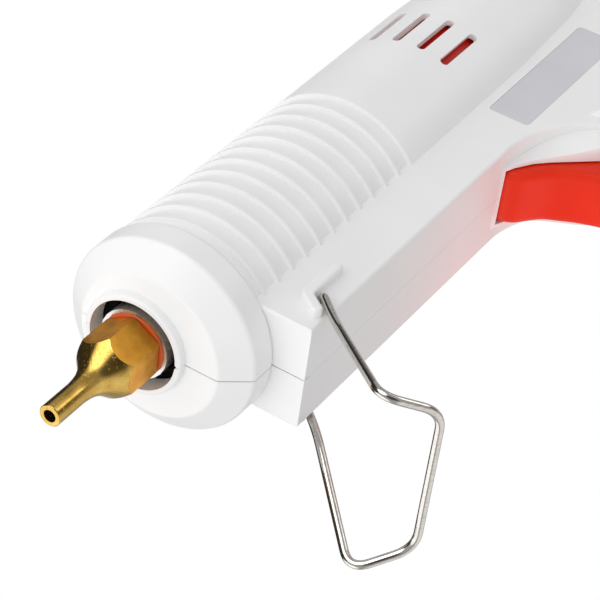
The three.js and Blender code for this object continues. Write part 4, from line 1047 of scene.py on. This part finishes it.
# The reddish light that the trigger throws onto the rail's underside
FILL_PLACE = (90, 13, -68)
FILL_AIM = (94, 6, -36)
FILL_SIZE = 40
FILL_POWER = 0.003
FILL_COLOUR = "FF3830"
soft_box("pink_fill", FILL_PLACE, FILL_AIM, FILL_SIZE, FILL_POWER, FILL_COLOUR)

# The studio: how bright it is all round, brighter ahead of the nose, and the cards and gaps that shiny
# surfaces mirror. Each card is (direction in the gun's frame, half angle of its core, width of its
# edge, brightness), with angles in degrees.
STUDIO_LEVEL = 0.835
STUDIO_SLOPE = 0.47
STUDIO_BRIGHTEST = (-0.82, -0.16, 0.55)
MIRRORED_LEVEL = 0.5
MIRRORED = [((0, 0.1, 1), 42, 14, 0.03), ((0.7, 0.1, 0.65), 18, 10, 0.03),
            ((-0.40, -0.84, 0.365), 20, 12, 3.6), ((0.698, -0.71, -0.1), 7, 6, 1),
            ((0.7, -0.58, -0.42), 8, 7, 2.6), ((0.7, -0.33, -0.64), 10, 6, 0.12),
            ((-0.6, -0.6, -0.6), 22, 12, 0.08), ((0.7, 0.62, 0.35), 14, 8, 0.8),
            ((0.1, 0.5, -0.9), 30, 20, 1.1), ((-0.7, 0.62, 0.35), 25, 15, 1.7)]


def along_direction(tree, direction):
    """How far a direction of the surroundings points along another, from -1 to 1."""
    view = add(tree, "ShaderNodeTexCoord").outputs["Generated"]
    towards = (TURN @ Vector(direction)).normalized()
    dot = add(tree, "ShaderNodeVectorMath", {"operation": "DOT_PRODUCT", 1: towards}, {0: view})
    return dot.outputs["Value"]


def studio_world():
    world = bpy.data.worlds.new("studio")
    world.use_nodes = True
    tree = world.node_tree
    tree.nodes.clear()
    ends = {"From Min": -1.0, "To Min": STUDIO_LEVEL - STUDIO_SLOPE,
            "To Max": STUDIO_LEVEL + STUDIO_SLOPE}
    level = add(tree, "ShaderNodeMapRange", ends, {"Value": along_direction(tree, STUDIO_BRIGHTEST)})
    base = add(tree, "ShaderNodeValue")
    base.outputs[0].default_value = MIRRORED_LEVEL
    mirrored = base.outputs[0]
    for direction, core, edge, brightness in MIRRORED:
        rim = {"interpolation_type": "SMOOTHSTEP", "From Min": math.cos(math.radians(core + edge)),
               "From Max": math.cos(math.radians(core))}
        inside = add(tree, "ShaderNodeMapRange", rim, {"Value": along_direction(tree, direction)})
        mirrored = add(tree, "ShaderNodeMix", {"B": brightness},
                       {"Factor": inside.outputs["Result"], "A": mirrored}).outputs["Result"]
    rays = add(tree, "ShaderNodeLightPath").outputs
    lit = add(tree, "ShaderNodeMix",
              links={"Factor": rays["Is Glossy Ray"], "A": level.outputs["Result"], "B": mirrored})
    seen = add(tree, "ShaderNodeMix", {"B": 1.0},
               {"Factor": rays["Is Camera Ray"], "A": lit.outputs["Result"]})
    white = add(tree, "ShaderNodeBackground", {"Color": (1, 1, 1, 1)},
                {"Strength": seen.outputs["Result"]})
    add(tree, "ShaderNodeOutputWorld", links={"Surface": white.outputs["Background"]})
    return world


bpy.context.scene.world = studio_world()
bpy.context.scene.view_settings.view_transform = "Standard"
